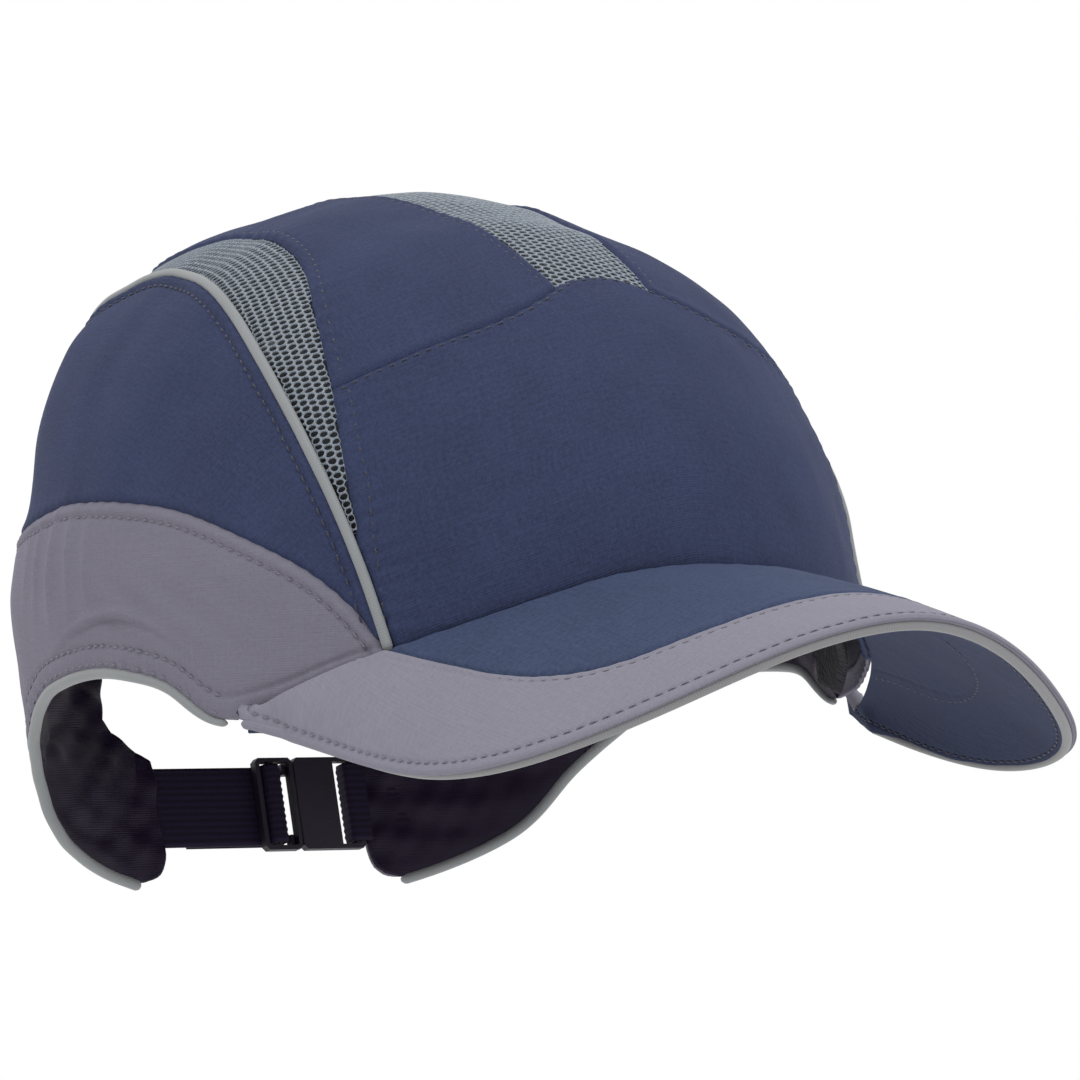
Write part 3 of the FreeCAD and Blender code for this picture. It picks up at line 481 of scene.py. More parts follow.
def near(points, line):
    """How far each point is from a line, and how far along the line its nearest place is, in millimetres."""
    flat = points.reshape(-1, 3)
    run = lengths(line)
    distance, place = np.empty(len(flat)), np.empty(len(flat))
    for first in range(0, len(flat), 4000):
        some = flat[first : first + 4000]
        gaps = np.linalg.norm(some[:, None] - line[None], axis=2)
        index = np.clip(np.argmin(gaps, axis=1), 1, len(line) - 1)
        best = np.full(len(some), np.inf)
        for step in (0, 1):
            start = np.clip(index - 1 + step, 0, len(line) - 2)
            along = line[start + 1] - line[start]
            share = np.einsum("ij,ij->i", some - line[start], along) / np.einsum("ij,ij->i", along, along)
            share = np.clip(share, 0.0, 1.0)
            gap = np.linalg.norm(some - line[start] - along * share[:, None], axis=1)
            closer = gap < best
            best = np.where(closer, gap, best)
            where = run[start] + share * np.linalg.norm(along, axis=1)
            place[first : first + 4000] = np.where(closer, where, place[first : first + 4000])
        distance[first : first + 4000] = best
    return distance.reshape(points.shape[:-1]), place.reshape(points.shape[:-1])


# --------------------------------------------------------------------------- materials
def rgb(red, green, blue):
    """A colour given as 0 to 255 sRGB, for a shader."""
    linear = [value / 12.92 if value <= 0.04045 else ((value + 0.055) / 1.055) ** 2.4
              for value in (red / 255.0, green / 255.0, blue / 255.0)]
    return (*linear, 1.0)


class Surface:
    """A procedural material under construction."""

    def __init__(self, name, roughness, **sockets):
        self.material = bpy.data.materials.new(name)
        self.material.use_nodes = True
        self.tree = self.material.node_tree
        self.shader = self.tree.nodes["Principled BSDF"]
        self.shader.inputs["Roughness"].default_value = roughness
        for socket, value in sockets.items():
            self.shader.inputs[socket.replace("_", " ")].default_value = value

    def add(self, kind, inputs=None, **settings):
        """A node whose inputs are linked to sockets or set to values. Returns its first output."""
        node = self.tree.nodes.new("ShaderNode" + kind)
        for key, value in settings.items():
            setattr(node, key, value)
        for key, value in (inputs or {}).items():
            if isinstance(value, bpy.types.NodeSocket):
                self.tree.links.new(value, node.inputs[key])
            else:
                node.inputs[key].default_value = value
        return node.outputs[0]

    def cloth(self, stretch=(1.0, 1.0, 1.0)):
        """Place along the cut cloth, in millimetres, times stretch."""
        node = self.tree.nodes.new("ShaderNodeAttribute")
        node.attribute_name = "cloth"
        return self.add("Mapping", {"Vector": node.outputs["Vector"], "Scale": stretch})

    def space(self, stretch=(1000.0, 1000.0, 1000.0)):
        """Place in the object, in millimetres, times stretch."""
        place = self.tree.nodes.new("ShaderNodeTexCoord").outputs["Object"]
        return self.add("Mapping", {"Vector": place, "Scale": stretch})

    def noise(self, place, scale=1.0, detail=3.0, roughness=0.55):
        inputs = {"Vector": place, "Scale": scale, "Detail": detail, "Roughness": roughness}
        return self.add("TexNoise", inputs)

    def bands(self, place, direction, pitch):
        """Smooth ribs 0 to 1, pitch millimetres apart."""
        node = self.tree.nodes.new("ShaderNodeTexWave")
        node.bands_direction = direction
        self.tree.links.new(place, node.inputs["Vector"])
        node.inputs["Scale"].default_value = 2.0 * math.pi / (20.0 * pitch)
        return node.outputs["Fac"]

    def math(self, operation, first, second):
        return self.add("Math", {0: first, 1: second}, operation=operation)

    def total(self, *terms):
        """The sum of (weight, socket) terms."""
        result = None
        for weight, socket in terms:
            term = self.math("MULTIPLY", socket, weight)
            result = term if result is None else self.math("ADD", result, term)
        return result

    def colours(self, factor, *stops):
        """The base colour, from (place, colour) stops along factor."""
        node = self.tree.nodes.new("ShaderNodeValToRGB")
        while len(node.color_ramp.elements) < len(stops):
            node.color_ramp.elements.new(0.5)
        for element, (place, colour) in zip(node.color_ramp.elements, stops):
            element.position, element.color = place, colour
        self.tree.links.new(factor, node.inputs["Fac"])
        self.tree.links.new(node.outputs["Color"], self.shader.inputs["Base Color"])

    def relief(self, height, distance, strength=1.0):
        """Bump of so many metres."""
        node = self.tree.nodes.new("ShaderNodeBump")
        node.inputs["Strength"].default_value = strength
        node.inputs["Distance"].default_value = distance
        self.tree.links.new(height, node.inputs["Height"])
        self.tree.links.new(node.outputs["Normal"], self.shader.inputs["Normal"])

    def rough(self, factor, low, high):
        spread = self.add("MapRange", {"Value": factor, "To Min": low, "To Max": high})
        self.tree.links.new(spread, self.shader.inputs["Roughness"])


def shade(colour, share):
    return (*(min(1.0, value * share) for value in colour[:3]), 1.0)


def woven(name, colour, contrast=0.36, thread=0.55, roughness=0.8, sheen=0.25, gloss=0.25):
    """A fine plain weave with slubs both ways and a slight unevenness of dye."""
    surface = Surface(name, roughness, Sheen_Weight=sheen, Sheen_Roughness=0.45, Specular_IOR_Level=gloss)
    surface.shader.inputs["Sheen Tint"].default_value = shade(colour, 2.2)
    place = surface.cloth()
    warp = surface.noise(surface.cloth((2.6, 0.10, 1.0)), detail=4.0)
    weft = surface.noise(surface.cloth((0.10, 2.6, 1.0)), detail=4.0)
    grain = surface.noise(place, 1.1, 3.0)
    cloud = surface.noise(place, 0.035, 3.0)
    tone = surface.total((0.20, warp), (0.22, weft), (0.40, grain), (0.18, cloud))
    surface.colours(tone, (0.36, shade(colour, 1.0 - contrast)), (0.5, colour),
                    (0.64, shade(colour, 1.0 + contrast)))
    over = surface.bands(place, "X", thread)
    under = surface.bands(place, "Y", thread)
    height = surface.total((0.5, surface.math("MULTIPLY", over, under)), (0.9, warp), (0.9, weft))
    surface.relief(height, 0.00012)
    return surface.material


def ribbed(name, colour, pitch, depth, roughness=0.7, contrast=0.3, direction="Y", cross=0.0, **sockets):
    """Ribs across or along a tape or strap, with a little fuzz."""
    surface = Surface(name, roughness, **sockets)
    place = surface.cloth()
    ribs = surface.bands(place, direction, pitch)
    fuzz = surface.noise(place, 2.2, 4.0)
    picks = surface.bands(place, "X" if direction == "Y" else "Y", pitch * 0.8)
    tone = surface.total((0.5 - cross / 2.0, ribs), (cross / 2.0, picks), (0.5, fuzz))
    surface.colours(tone, (0.25, shade(colour, 1.0 - contrast)), (0.75, shade(colour, 1.0 + contrast)))
    surface.relief(surface.total((0.7, ribs), (cross, picks), (0.5, fuzz)), depth)
    return surface.material


def moulded(name, colour, roughness, grain=0.00004, scale=1.4):
    """Moulded plastic with a fine spark-eroded grain and dull, handled patches."""
    surface = Surface(name, roughness)
    place = surface.space()
    fine = surface.noise(place, scale, 4.0)
    handled = surface.noise(place, 0.06, 3.0)
    surface.colours(handled, (0.3, shade(colour, 0.85)), (0.7, shade(colour, 1.2)))
    surface.rough(handled, roughness - 0.08, roughness + 0.14)
    surface.relief(fine, grain)
    return surface.material


def terry(name, colour, scale=0.9, depth=0.0006, contrast=0.35):
    """Looped towelling, or open-celled foam at a larger scale."""
    surface = Surface(name, 0.95, Sheen_Weight=0.08, Sheen_Roughness=0.6, Specular_IOR_Level=0.1)
    place = surface.cloth()
    loops = surface.add("TexVoronoi", {"Vector": place, "Scale": scale})
    fuzz = surface.noise(place, scale * 2.0, 4.0)
    tone = surface.total((0.6, loops), (0.5, fuzz))
    surface.colours(tone, (0.2, shade(colour, 1.0 + contrast)), (0.8, shade(colour, 1.0 - contrast)))
    surface.relief(surface.total((-1.0, loops), (0.5, fuzz)), depth)
    return surface.material


# NAVY_TOP_LIT and NAVY_UNDER_SHADED are one navy twill in two colours: the peak's top is painted lighter as
# lit from above, and its underside is painted darker as shade.
NAVY, NAVY_TOP_LIT, NAVY_UNDER_SHADED = rgb(43, 51, 80), rgb(51, 62, 89), rgb(45, 52, 77)
GREY, GREY_PEAK, LIGHT_GREY = rgb(111, 108, 121), rgb(124, 122, 134), rgb(126, 129, 131)
BLACK = rgb(27, 15, 38)

navy_cloth = woven("navy_cloth", NAVY)
# The peak's top takes the lighter, lit copy of its twill. The underside takes a darker copy with less
# contrast: painted shade under the peak.
peak_cloth = woven("peak_navy_cloth", NAVY_TOP_LIT)
under_cloth = woven("peak_under_cloth", NAVY_UNDER_SHADED, contrast=0.2)
grey_cloth = woven("grey_cloth", GREY, contrast=0.1)
border_cloth = woven("peak_grey_cloth", GREY_PEAK, contrast=0.1)
piping_tape = ribbed("piping_tape", LIGHT_GREY, 0.6, 0.00003, roughness=0.6, contrast=0.06, direction="X",
                     Sheen_Weight=0.2)
binding_tape = ribbed("binding_tape", rgb(124, 124, 126), 0.6, 0.00003, roughness=0.6, contrast=0.08,
                      direction="X", Sheen_Weight=0.2)
knit = ribbed("mesh_knit", rgb(118, 128, 139), 0.5, 0.00015, roughness=0.6, contrast=0.2, Sheen_Weight=0.3)
lining_cloth = woven("lining_cloth", BLACK, contrast=0.25, roughness=0.5, sheen=0.12, gloss=0.2)
elastic_weave = ribbed("elastic_weave", rgb(30, 21, 42), 1.6, 0.0003, roughness=0.75, contrast=0.3,
                       Specular_IOR_Level=0.15)
towelling = terry("towelling", rgb(22, 19, 30))
foam = terry("pad_foam", rgb(28, 26, 33), scale=1.6, depth=0.0003, contrast=0.2)
clasp_black = moulded("clasp_black", rgb(20, 12, 30), 0.5)
shell_black = moulded("shell_black", rgb(36, 37, 42), 0.45, 0.00006, 0.8)
board_black = moulded("board_black", rgb(40, 42, 50), 0.5)


def thread_of(name, colour):
    """Twisted sewing thread."""
    surface = Surface(name, 0.6, Sheen_Weight=0.2)
    place = surface.cloth((1.0, 1.6, 1.0))
    twist = surface.bands(place, "DIAGONAL", 0.5)
    fuzz = surface.noise(place, 1.3, 3.0)
    tone = surface.total((0.5, twist), (0.5, fuzz))
    surface.colours(tone, (0.3, shade(colour, 0.75)), (0.7, shade(colour, 1.25)))
    surface.relief(twist, 0.00008)
    return surface.material


navy_thread = thread_of("navy_thread", rgb(32, 33, 58))
grey_thread = thread_of("grey_thread", rgb(104, 101, 114))


# --------------------------------------------------------------------------- putting pieces on the frame
def place_piece(piece, nodes=(), body="cap"):
    """The piece rides on a body and stands for CAD nodes."""
    if body:
        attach(piece, body)
    if nodes:
        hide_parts(*nodes)
    return piece


def cut_size(blocks):
    """Width, length and area of the cloth that blocks of a piece were cut from, in metres."""
    area = 0.0
    for block in blocks:
        grid = block[0]
        one, two = grid[1:, 1:] - grid[:-1, :-1], grid[1:, :-1] - grid[:-1, 1:]
        area += np.linalg.norm(np.cross(one, two), axis=2).sum() / 2.0
    places = np.concatenate([block[3].reshape(-1, 3) for block in blocks])
    width, length = (places.max(0) - places.min(0))[:2]
    area = min(max(area, 0.31 * width * length), width * length)
    return (float(width) * MM, float(length) * MM), float(area) * MM * MM


def sew(name, blocks, thickness, material, nodes):
    """A cloth piece from its blocks, standing for its CAD nodes."""
    piece = sheet_from(name, blocks, thickness, material)
    place_piece(piece, nodes)
    flat, area = cut_size(blocks)
    return piece


def sew_stitches(name, lines, material, lift=0.0, **settings):
    """Stitch rows along crown lines, lying on the draped cloth."""
    parts = [stitches(draped(line, lift), crown_normal(line), **settings) for line in lines]
    points, faces, cloth = merged(parts)
    return place_piece(make_mesh(name, points, faces, material, cloth))


def inner_part(line, start, end, count=None):
    """The line without its ends, on the crown."""
    count = count or max(8, int(lengths(line)[-1] / 0.8))
    return on_crown(resample(line, count, start, end))


def row_beside(line, distance, start=0.0, end=0.0):
    """A row at a distance to the left of a line's direction, as seen from outside."""
    return shifted(inner_part(line, start, end), distance)


def surface_relief(points, seams):
    """The relief of cloth between seams. Each seam is (line, stitch rows, pucker depth, seed)."""
    rise = np.zeros(points.shape[:-1])
    for line, rows, depth, seed in seams:
        distance, run = near(points, line)
        rise = rise + seam_edge(distance)
        for row in rows:
            rise = rise + stitch_line(distance, row)
        if depth:
            rise = rise + puckers(run, distance, 4.6, 4.5, depth, seed)
    return rise


SIDES = (("right", 1.0), ("left", -1.0))
# The hem is drawn up at its front ends, more on the wearer's left: y and z of the place, height and reach.
DRAWN_UP, DRAWN_RIGHT, DRAWN_LEFT = (-49.0, -20.0), (1.7, 20.0), (5.5, 33.0)


def on_side(points, sign):
    """Points worked out on the wearer's right, put on either side."""
    points = np.asarray(points) * np.array([sign, 1.0, 1.0])
    gap = np.hypot(points[..., 1] - DRAWN_UP[0], points[..., 2] - DRAWN_UP[1])
    height, reach = DRAWN_RIGHT if sign > 0 else DRAWN_LEFT
    points[..., 2] += height * np.exp(-((gap / reach) ** 2)) * (points[..., 2] < 8.0)
    return points


def seams_on_side(seams, sign):
    return [(on_side(line, sign), rows, depth, seed) for line, rows, depth, seed in seams]


def even(line, spacing):
    """The line at even steps of about the spacing."""
    return on_crown(resample(line, max(5, int(round(lengths(line)[-1] / spacing)) + 1)))


# --------------------------------------------------------------------------- front and top panels
mesh_start = nearest(piped_seam, mesh_seam[0])
PIPING_EDGE = 0.9
FABRIC = 0.9

foot = shifted(on_crown(resample(piped_seam[: mesh_start + 1], 20)), -PIPING_EDGE)
arch_end = nearest(mesh_seam, arch_seam[-1])
beside_mesh = joined(foot[:-1], mesh_seam[1 : arch_end + 1], count=131)
under_seam = shifted(across_centre(on_crown(resample(peak_half[: nearest(peak_half, foot[0]) + 1], 81))), 1.5)
front_side = joined(under_seam[-1], beside_mesh[2:], count=131)
front_high = across_centre(on_crown(resample(np.concatenate([arch_seam[:-1], front_side[-1:]]), 81)))
front_grid = patch(under_seam, front_high, mirrored(front_side), front_side)
FRONT_ROW = [(82, 65.6), (62, 60.5), (52.5, 53.4), (48.5, 45.6), (46, 39), (44, 32.7), (42.5, 27.3),
             (41.3, 21.8), (40.3, 17.6), (39.9, 13.9), (38.9, 6), (38.3, -1.5)]
front_row = line_at(FRONT_ROW, 241)
peak_seam = across_centre(peak_half)
arch_whole = across_centre(arch_seam)

front_seams = [(arch_whole, (1.3,), 0.18, 5), (front_side, (), 0.12, 6), (mirrored(front_side), (), 0.12, 7)]
rise = surface_relief(front_grid, front_seams)
for row, seed in ((front_row, 8), (mirrored(front_row), 9)):
    distance, run = near(front_grid, row)
    rise = rise + stitch_line(distance, 0.0) + puckers(run, distance, 4.0, 6.0, 0.20, seed)
distance, run = near(front_grid, peak_seam)
rise = rise - 1.3 * np.exp(-distance / 1.3) + puckers(run, distance, 6.0, 6.0, 0.16, 10)
arch_row = row_beside(arch_whole, 1.2, 1.0, 1.0)
arch_stitches = sew_stitches("front_panel_stitches", [arch_row], navy_thread, 0.05)
side_rows = [inner_part(front_row[nearest(front_row, arch_seam[-1]) :], 1.0, 3.0)]
side_rows.append(mirrored(side_rows[0]))
front_side_stitches = sew_stitches("front_side_stitches", side_rows, navy_thread, -0.1)
sew("front_panel_cloth", [cloth_block(front_grid, rise)], FABRIC, navy_cloth,
    ["front_panel"])

outer_edge = inner_part(mesh_seam[arch_end : nearest(mesh_seam, centre_back) + 1], 0.0, 1.0, 201)
inner_edge = inner_part(centre_seam, 0.0, 1.0, 201)
top_front = on_crown(resample(arch_seam[nearest(arch_seam, centre_front) :][::-1], 61))
outer_edge[0], inner_edge[0] = top_front[0], top_front[-1]
top_grid = patch(outer_edge, inner_edge, top_front, chord(outer_edge[-1], inner_edge[-1], 61))
OUTER_ROW, INNER_ROW = 2.8, 2.4
top_seams = [(arch_seam, (), 0.16, 11), (mesh_seam, (OUTER_ROW,), 0.22, 12),
             (centre_seam, (INNER_ROW,), 0.12, 13)]
for side, sign in SIDES:
    grid = on_side(top_grid, sign)
    rise = surface_relief(grid, seams_on_side(top_seams, sign))
    outer_row = row_beside(outer_edge, -OUTER_ROW, 3.0, 4.0)
    inner_row = row_beside(inner_edge, INNER_ROW, 3.0, 4.0)
    rows = sew_stitches(f"top_panel_stitches_{side}", [on_side(outer_row, sign), on_side(inner_row, sign)],
                        navy_thread, -0.1)
    sew(f"top_panel_cloth_{side}", [cloth_block(grid, rise)], FABRIC, navy_cloth,
        [f"top_panel_{side}"])


# --------------------------------------------------------------------------- vent meshes
CELL_LENGTH, CELL_ROW, HOLE_SHARE = 1.8, 2.1, 0.79
NET_THICKNESS, NET_UNEVENNESS, NET_SHARE, NET_DEPTH = 0.5, 0.12, 0.65, 0.5
# How far a strand stands proud along its middle, and how far its other faces lie in from the net's own.
STRAND_PROUD, STRAND_BACK, HOLE_FRONT, HOLE_BACK = 0.12, 0.05, 0.08, 0.12
CELL = [(0.5, 1 / 3), (0.0, 2 / 3), (-0.5, 1 / 3), (-0.5, -1 / 3), (0.0, -2 / 3), (0.5, -1 / 3)]


def net(low, high):
    """A knitted net of six-sided cells between two lines that run the same way."""
    middle = on_crown((low + high) / 2.0)
    run = lengths(middle)
    width = np.linalg.norm(high - low, axis=1)
    index = {}
    points, cells = [], []

    def corner(along, across):
        key = (round(along * 4), round(across * 4))
        if key not in index:
            place = np.clip(along, 0.0, run[-1])
            reach = np.interp(place, run, width)
            share = np.clip(0.5 + across / reach, 0.0, 1.0)
            index[key] = len(points)
            points.append(read_along(place, run, low) * (1.0 - share) + read_along(place, run, high) * share)
        return index[key]

    rows = int(width.max() / CELL_ROW / 2.0) + 2
    for row in range(-rows, rows + 1):
        start = CELL_LENGTH / 2.0 if row % 2 else 0.0
        for step in range(int(run[-1] / CELL_LENGTH) + 2):
            along, across = start + step * CELL_LENGTH, row * CELL_ROW
            reach = np.interp(along, run, width)
            if along > run[-1] or abs(across) > reach / 2.0 + 0.1 * CELL_ROW:
                continue
            cells.append([corner(along + u * CELL_LENGTH, across + v * CELL_ROW) for u, v in CELL])
    return on_crown(np.array(points)), np.array(cells)


def net_mesh(name, low, high):
    """The net as rounded strands, a little thicker where they cross."""
    corners, cells = net(low, high)
    corners = on_crown(corners + np.random.default_rng(51).normal(size=corners.shape) * NET_UNEVENNESS)
    normals = crown_normal(corners)
    base = corners + normals * (drape(corners) - NET_DEPTH)[:, None]
    centres = base[cells].mean(axis=1, keepdims=True)
    holes = centres + (base[cells] - centres) * HOLE_SHARE
    facing = normals[cells]
    count, around = len(base), cells.shape[1]
    points = np.concatenate([
        base + normals * STRAND_PROUD,
        base - normals * (NET_THICKNESS - STRAND_BACK),
        (holes - facing * HOLE_FRONT).reshape(-1, 3),
        (holes - facing * (NET_THICKNESS - HOLE_BACK)).reshape(-1, 3),
    ])
    ring = 2 * count + np.arange(len(cells) * around).reshape(len(cells), around)
    back = ring + len(cells) * around
    after = np.roll(np.arange(around), -1)
    faces = np.concatenate([
        np.stack([cells, cells[:, after], ring[:, after], ring], -1).reshape(-1, 4),
        np.stack([cells[:, after] + count, cells + count, back, back[:, after]], -1).reshape(-1, 4),
        np.stack([ring, ring[:, after], back[:, after], back], -1).reshape(-1, 4),
    ])
    rim = open_edges(cells)
    rim = rim[np.linalg.norm(base[rim[:, 0]] - base[rim[:, 1]], axis=1) > 1e-6]
    faces = np.concatenate([faces, edge_wall(rim, count)])
    piece = make_mesh(name, points, faces, knit, points)
    rounding = piece.modifiers.new("rounding", "SUBSURF")
    rounding.levels = rounding.render_levels = 1
    return piece


def declare_net(piece, node):
    """The net rides on the cap and stands for its CAD node."""
    place_piece(piece, [node])


front_half = on_crown(resample(arch_seam[: nearest(arch_seam, centre_front) + 1], 11))
back_half = on_crown(resample(mesh_seam[nearest(mesh_seam, centre_back) :][::-1], 11))
centre_right = joined(front_half[-1], centre_seam[1:-1], back_half[-1], count=161)
mesh_low = on_crown(resample(mesh_seam, 401))
mesh_high = shifted(on_crown(resample(piped_seam[mesh_start:], 401)), -PIPING_EDGE)
centre_net = net_mesh("top_mesh_net", mirrored(centre_right), centre_right)
declare_net(centre_net, "top_mesh")
for side, sign in SIDES:
    piece = net_mesh(f"side_mesh_net_{side}", on_side(mesh_high, sign), on_side(mesh_low, sign))
    declare_net(piece, f"side_mesh_{side}")

# --------------------------------------------------------------------------- rear panels
rear_low = inner_part(grey_seam, 4.0, 0.0, 221)
rear_high = shifted(inner_part(piped_seam, 4.0, 0.0, 221), PIPING_EDGE)
rear_low[-1][0] = rear_high[-1][0] = 0.0
rear_grid = strip(rear_low, rear_high, 91)
REAR_ROW = 4.0
rear_seams = [(grey_seam, (), 0.10, 14), (piped_seam, (REAR_ROW,), 0.18, 15)]
for side, sign in SIDES:
    grid = on_side(rear_grid, sign)
    rise = surface_relief(grid, seams_on_side(rear_seams, sign))
    rise = rise - 0.5 * bump(grid[..., 0], 0.0, 0.7) * (grid[..., 1] > 0)
    distance, _ = near(grid, on_side(piped_seam, sign))
    rise = rise + 0.40 * bump(distance, 2.3, 1.0) - 0.20 * bump(distance, 4.3, 0.8)
    row = row_beside(piped_seam, REAR_ROW, 8.0, 1.0)
    rows = sew_stitches(f"rear_panel_stitches_{side}", [on_side(row, sign)], navy_thread, -0.1)
    sew(f"rear_panel_cloth_{side}", [cloth_block(grid, rise)], FABRIC, navy_cloth,
        [f"rear_panel_{side}"])

# --------------------------------------------------------------------------- panels and linings round the ear
TAB_TURN = from_side(63, -46)
FRONT_COLUMNS = 171


def lower_blocks(top, hem_start):
    """The three blocks of a piece from a top line to the hem, the tab's end and the nape opening."""
    turn = nearest(hem_line, TAB_TURN)
    notch = nape_arch[-1]
    middle = nearest(top, at(math.degrees(math.atan2(-notch[0], -notch[1])) - 3.0, 17.0))
    if hem_start:
        hem_front = joined(*hem_start, hem_line[1 : turn + 1], count=FRONT_COLUMNS)
    else:
        hem_front = on_crown(resample(hem_line[: turn + 1], FRONT_COLUMNS))
    up_tab = chord(hem_front[-1], notch, 26)
    up_back = chord(notch, top[middle], 36)
    end = np.concatenate([up_tab[:-1], up_back])
    top_part = on_crown(resample(top[: middle + 1], FRONT_COLUMNS))
    front = patch(hem_front, top_part, chord(hem_front[0], top[0], len(end)), end)
    arch = on_crown(resample(nape_arch[::-1], 81))
    bridge = patch(arch, on_crown(resample(top[middle:], 81)), up_back, chord(arch[-1], top[-1], 36))
    foot_line = on_crown(resample(hem_line[turn:], 61))
    flare = on_crown(resample(nape_flare, 61))
    tab = patch(foot_line, flare, up_tab, on_crown(resample(tab_end[::-1], 26)))
    for grid, first, edge in ((front, -1, end), (bridge, 0, up_back), (tab, 0, up_tab)):
        grid[first] = edge
    front[-1, -1], bridge[0, -1] = top[middle], top[middle]
    tab[:, -1], front[:, 0] = flare, hem_front
    return [front, bridge, tab]


def round_places(grid):
    """Cloth places round the head and up, in millimetres."""
    azimuth = np.arctan2(np.abs(grid[..., 0]), -grid[..., 1])
    return np.stack([azimuth * 92.0, grid[..., 2] * 1.05, np.zeros_like(azimuth)], -1)


def creases(points):
    """Gathered upright creases under the grey seam, behind the ear, and soft folds over the ear."""
    azimuth = np.degrees(np.arctan2(np.abs(points[..., 0]), -points[..., 1]))
    elevation = np.degrees(np.arctan2(points[..., 2], np.hypot(points[..., 0], points[..., 1])))
    behind = np.exp(-(((azimuth - 99.0) / 11.0) ** 2)) * np.exp(-(((elevation - 12.0) / 7.0) ** 2))
    wander = 0.5 * np.sin(np.radians(elevation * 9.0 + azimuth * 5.0))
    wander = wander + 0.6 * np.sin(np.radians(azimuth * 23.0))
    folds = 1.25 * behind * (1.0 - np.abs(np.sin((azimuth + wander) * math.pi / 5.6))) ** 1.5
    over_ear = np.exp(-(((azimuth - 80.0) / 22.0) ** 2)) * np.exp(-(((elevation - 4.0) / 5.0) ** 2))
    folds = folds + 0.25 * over_ear * np.sin((azimuth - elevation * 1.5) * 2.0 * math.pi / 9.0)
    # One crumpled fold lies along the ear's arch, some way above it.
    above = points[..., 2] - 5.2 + 0.012 * (points[..., 1] + 9.0) ** 2
    there = np.exp(-(((points[..., 1] + 9.0) / 17.0) ** 2))
    return folds + there * (0.70 * bump(above, 1.5, 1.2) - 0.90 * bump(above, 0.0, 0.6))


def lower_cloth(grids, seams):
    """Blocks of a lower panel, with its creases and the relief from its seams."""
    return [(grid, crown_normal(grid), surface_relief(grid, seams) + creases(grid) + drape(grid),
             round_places(grid)) for grid in grids]


grey_top = inner_part(grey_seam, 0.0, 0.0, 241)
hem_whole = joined(under_peak[:-1], hem_line, count=361)
outer_grids = lower_blocks(grey_top, [under_peak[:-1]])
lining_top = line_at(LINING_TOP, 241)
# The stitch rows of the lower panel. A row given twice draws a furrow twice as deep.
TOP_ROW, HEM_ROWS, NAPE_ROW = 3.4, (0.9, 4.8), 3.3
grey_seams = [(grey_seam, (TOP_ROW, TOP_ROW), 0.16, 16), (hem_whole, HEM_ROWS + HEM_ROWS[1:], 0.26, 17),
              (nape_arch, (NAPE_ROW,), 0.15, 18), (nape_flare, (), 0.05, 19), (tab_end, (), 0.0, 20)]
for side, sign in SIDES:
    blocks = lower_cloth([on_side(grid, sign) for grid in outer_grids], seams_on_side(grey_seams, sign))
    rows = [inner_part(row_beside(grey_seam, TOP_ROW, 3.0, 0.5), 0.5, 0.0)]
    rows += [row_beside(hem_line, -distance, 4.0, 12.0) for distance in HEM_ROWS]
    rows.append(row_beside(nape_arch, NAPE_ROW, 0.5, 1.0))
    rows = [on_side(row, sign) for row in rows]
    made = sew_stitches(f"lower_panel_stitches_{side}", rows, grey_thread, -0.1)
    sew(f"lower_panel_cloth_{side}", blocks, FABRIC, grey_cloth, [f"lower_panel_{side}"])


def wrinkled(points):
    """The lining is loose, and lies in soft wrinkles."""
    return 1.1 - 1.3 * np.abs(waves(points, 34.0, 21)) ** 0.8 + 0.35 * waves(points, 8.0, 22)


LINING_DEPTH, HEM_GAP, HEM_REACH = 3.4, 1.9, 4.0
inner_grids = lower_blocks(lining_top, [])
for side, sign in SIDES:
    blocks = []
    for grid in [on_side(grid, sign) for grid in inner_grids]:
        to_hem, _ = near(grid, on_side(hem_whole, sign))
        free = 1.0 - np.exp(-to_hem / HEM_REACH)
        rise = wrinkled(grid) * free - LINING_DEPTH + HEM_GAP * (1.0 - free)
        blocks.append((grid, crown_normal(grid), rise, round_places(grid)))
    sew(f"side_lining_cloth_{side}", blocks, 0.5, lining_cloth, [f"side_lining_{side}"])

# --------------------------------------------------------------------------- piping and nape binding
def tape(name, line, facing, half_width, half_height, sides, material, nodes=()):
    """A tube of tape along a line."""
    points, faces, cloth = tube(line, facing, half_width, half_height, sides=sides)
    return place_piece(make_mesh(name, points, faces, material, cloth), nodes)


piping_line = inner_part(piped_seam, 0.8, 0.2, 420)
hem_tube_line = shifted(inner_part(hem_line, 2.5, 0.2, 260), 1.15)
nape_whole = joined(nape_flare[::-1], nape_arch[::-1][1:], count=260)
nape_tube = shifted(np.concatenate([nape_whole, mirrored(nape_whole)[-2::-1]]), -1.2)
for side, sign in SIDES:
    line = on_side(piping_line, sign)
    tape(f"crown_piping_tape_{side}", draped(line, 0.15), crown_normal(line), 1.2, 0.95, 14,
         piping_tape, [f"crown_piping_{side}"])
    line = on_side(hem_tube_line, sign)
    full = 0.65 + 0.35 * ease(lengths(line) / 14.0)
    tape(f"hem_piping_tape_{side}", draped(line, -1.1), crown_normal(line), 1.3 * full, 1.35 * full, 18,
         piping_tape, [f"hem_piping_{side}"])
tape("nape_binding_tape", draped(nape_tube, -1.2), crown_normal(nape_tube), 1.1, 1.5, 16,
     lining_cloth, ["nape_binding"])

# --------------------------------------------------------------------------- peak
# The peak's outer edge, from the middle to the right-hand corner at the end of its seam.
PEAK_EDGE = [(0, -182, -4), (-27.6, -176.2, -9.4), (-50, -164.3, -19.5), (-68.5, -145.7, -28.8),
             (-76, -116.7, -32), (-77.4, -82.6, -26.4), (-79.6, -56, -19.6)]
# The line between the peak's centre piece and its border: share along the half seam, share out to the edge.
BORDER_LINE = [(0, 0.70), (0.194, 0.712), (0.349, 0.69), (0.446, 0.585), (0.543, 0.385),
               (0.64, 0.135), (0.679, 0.0)]
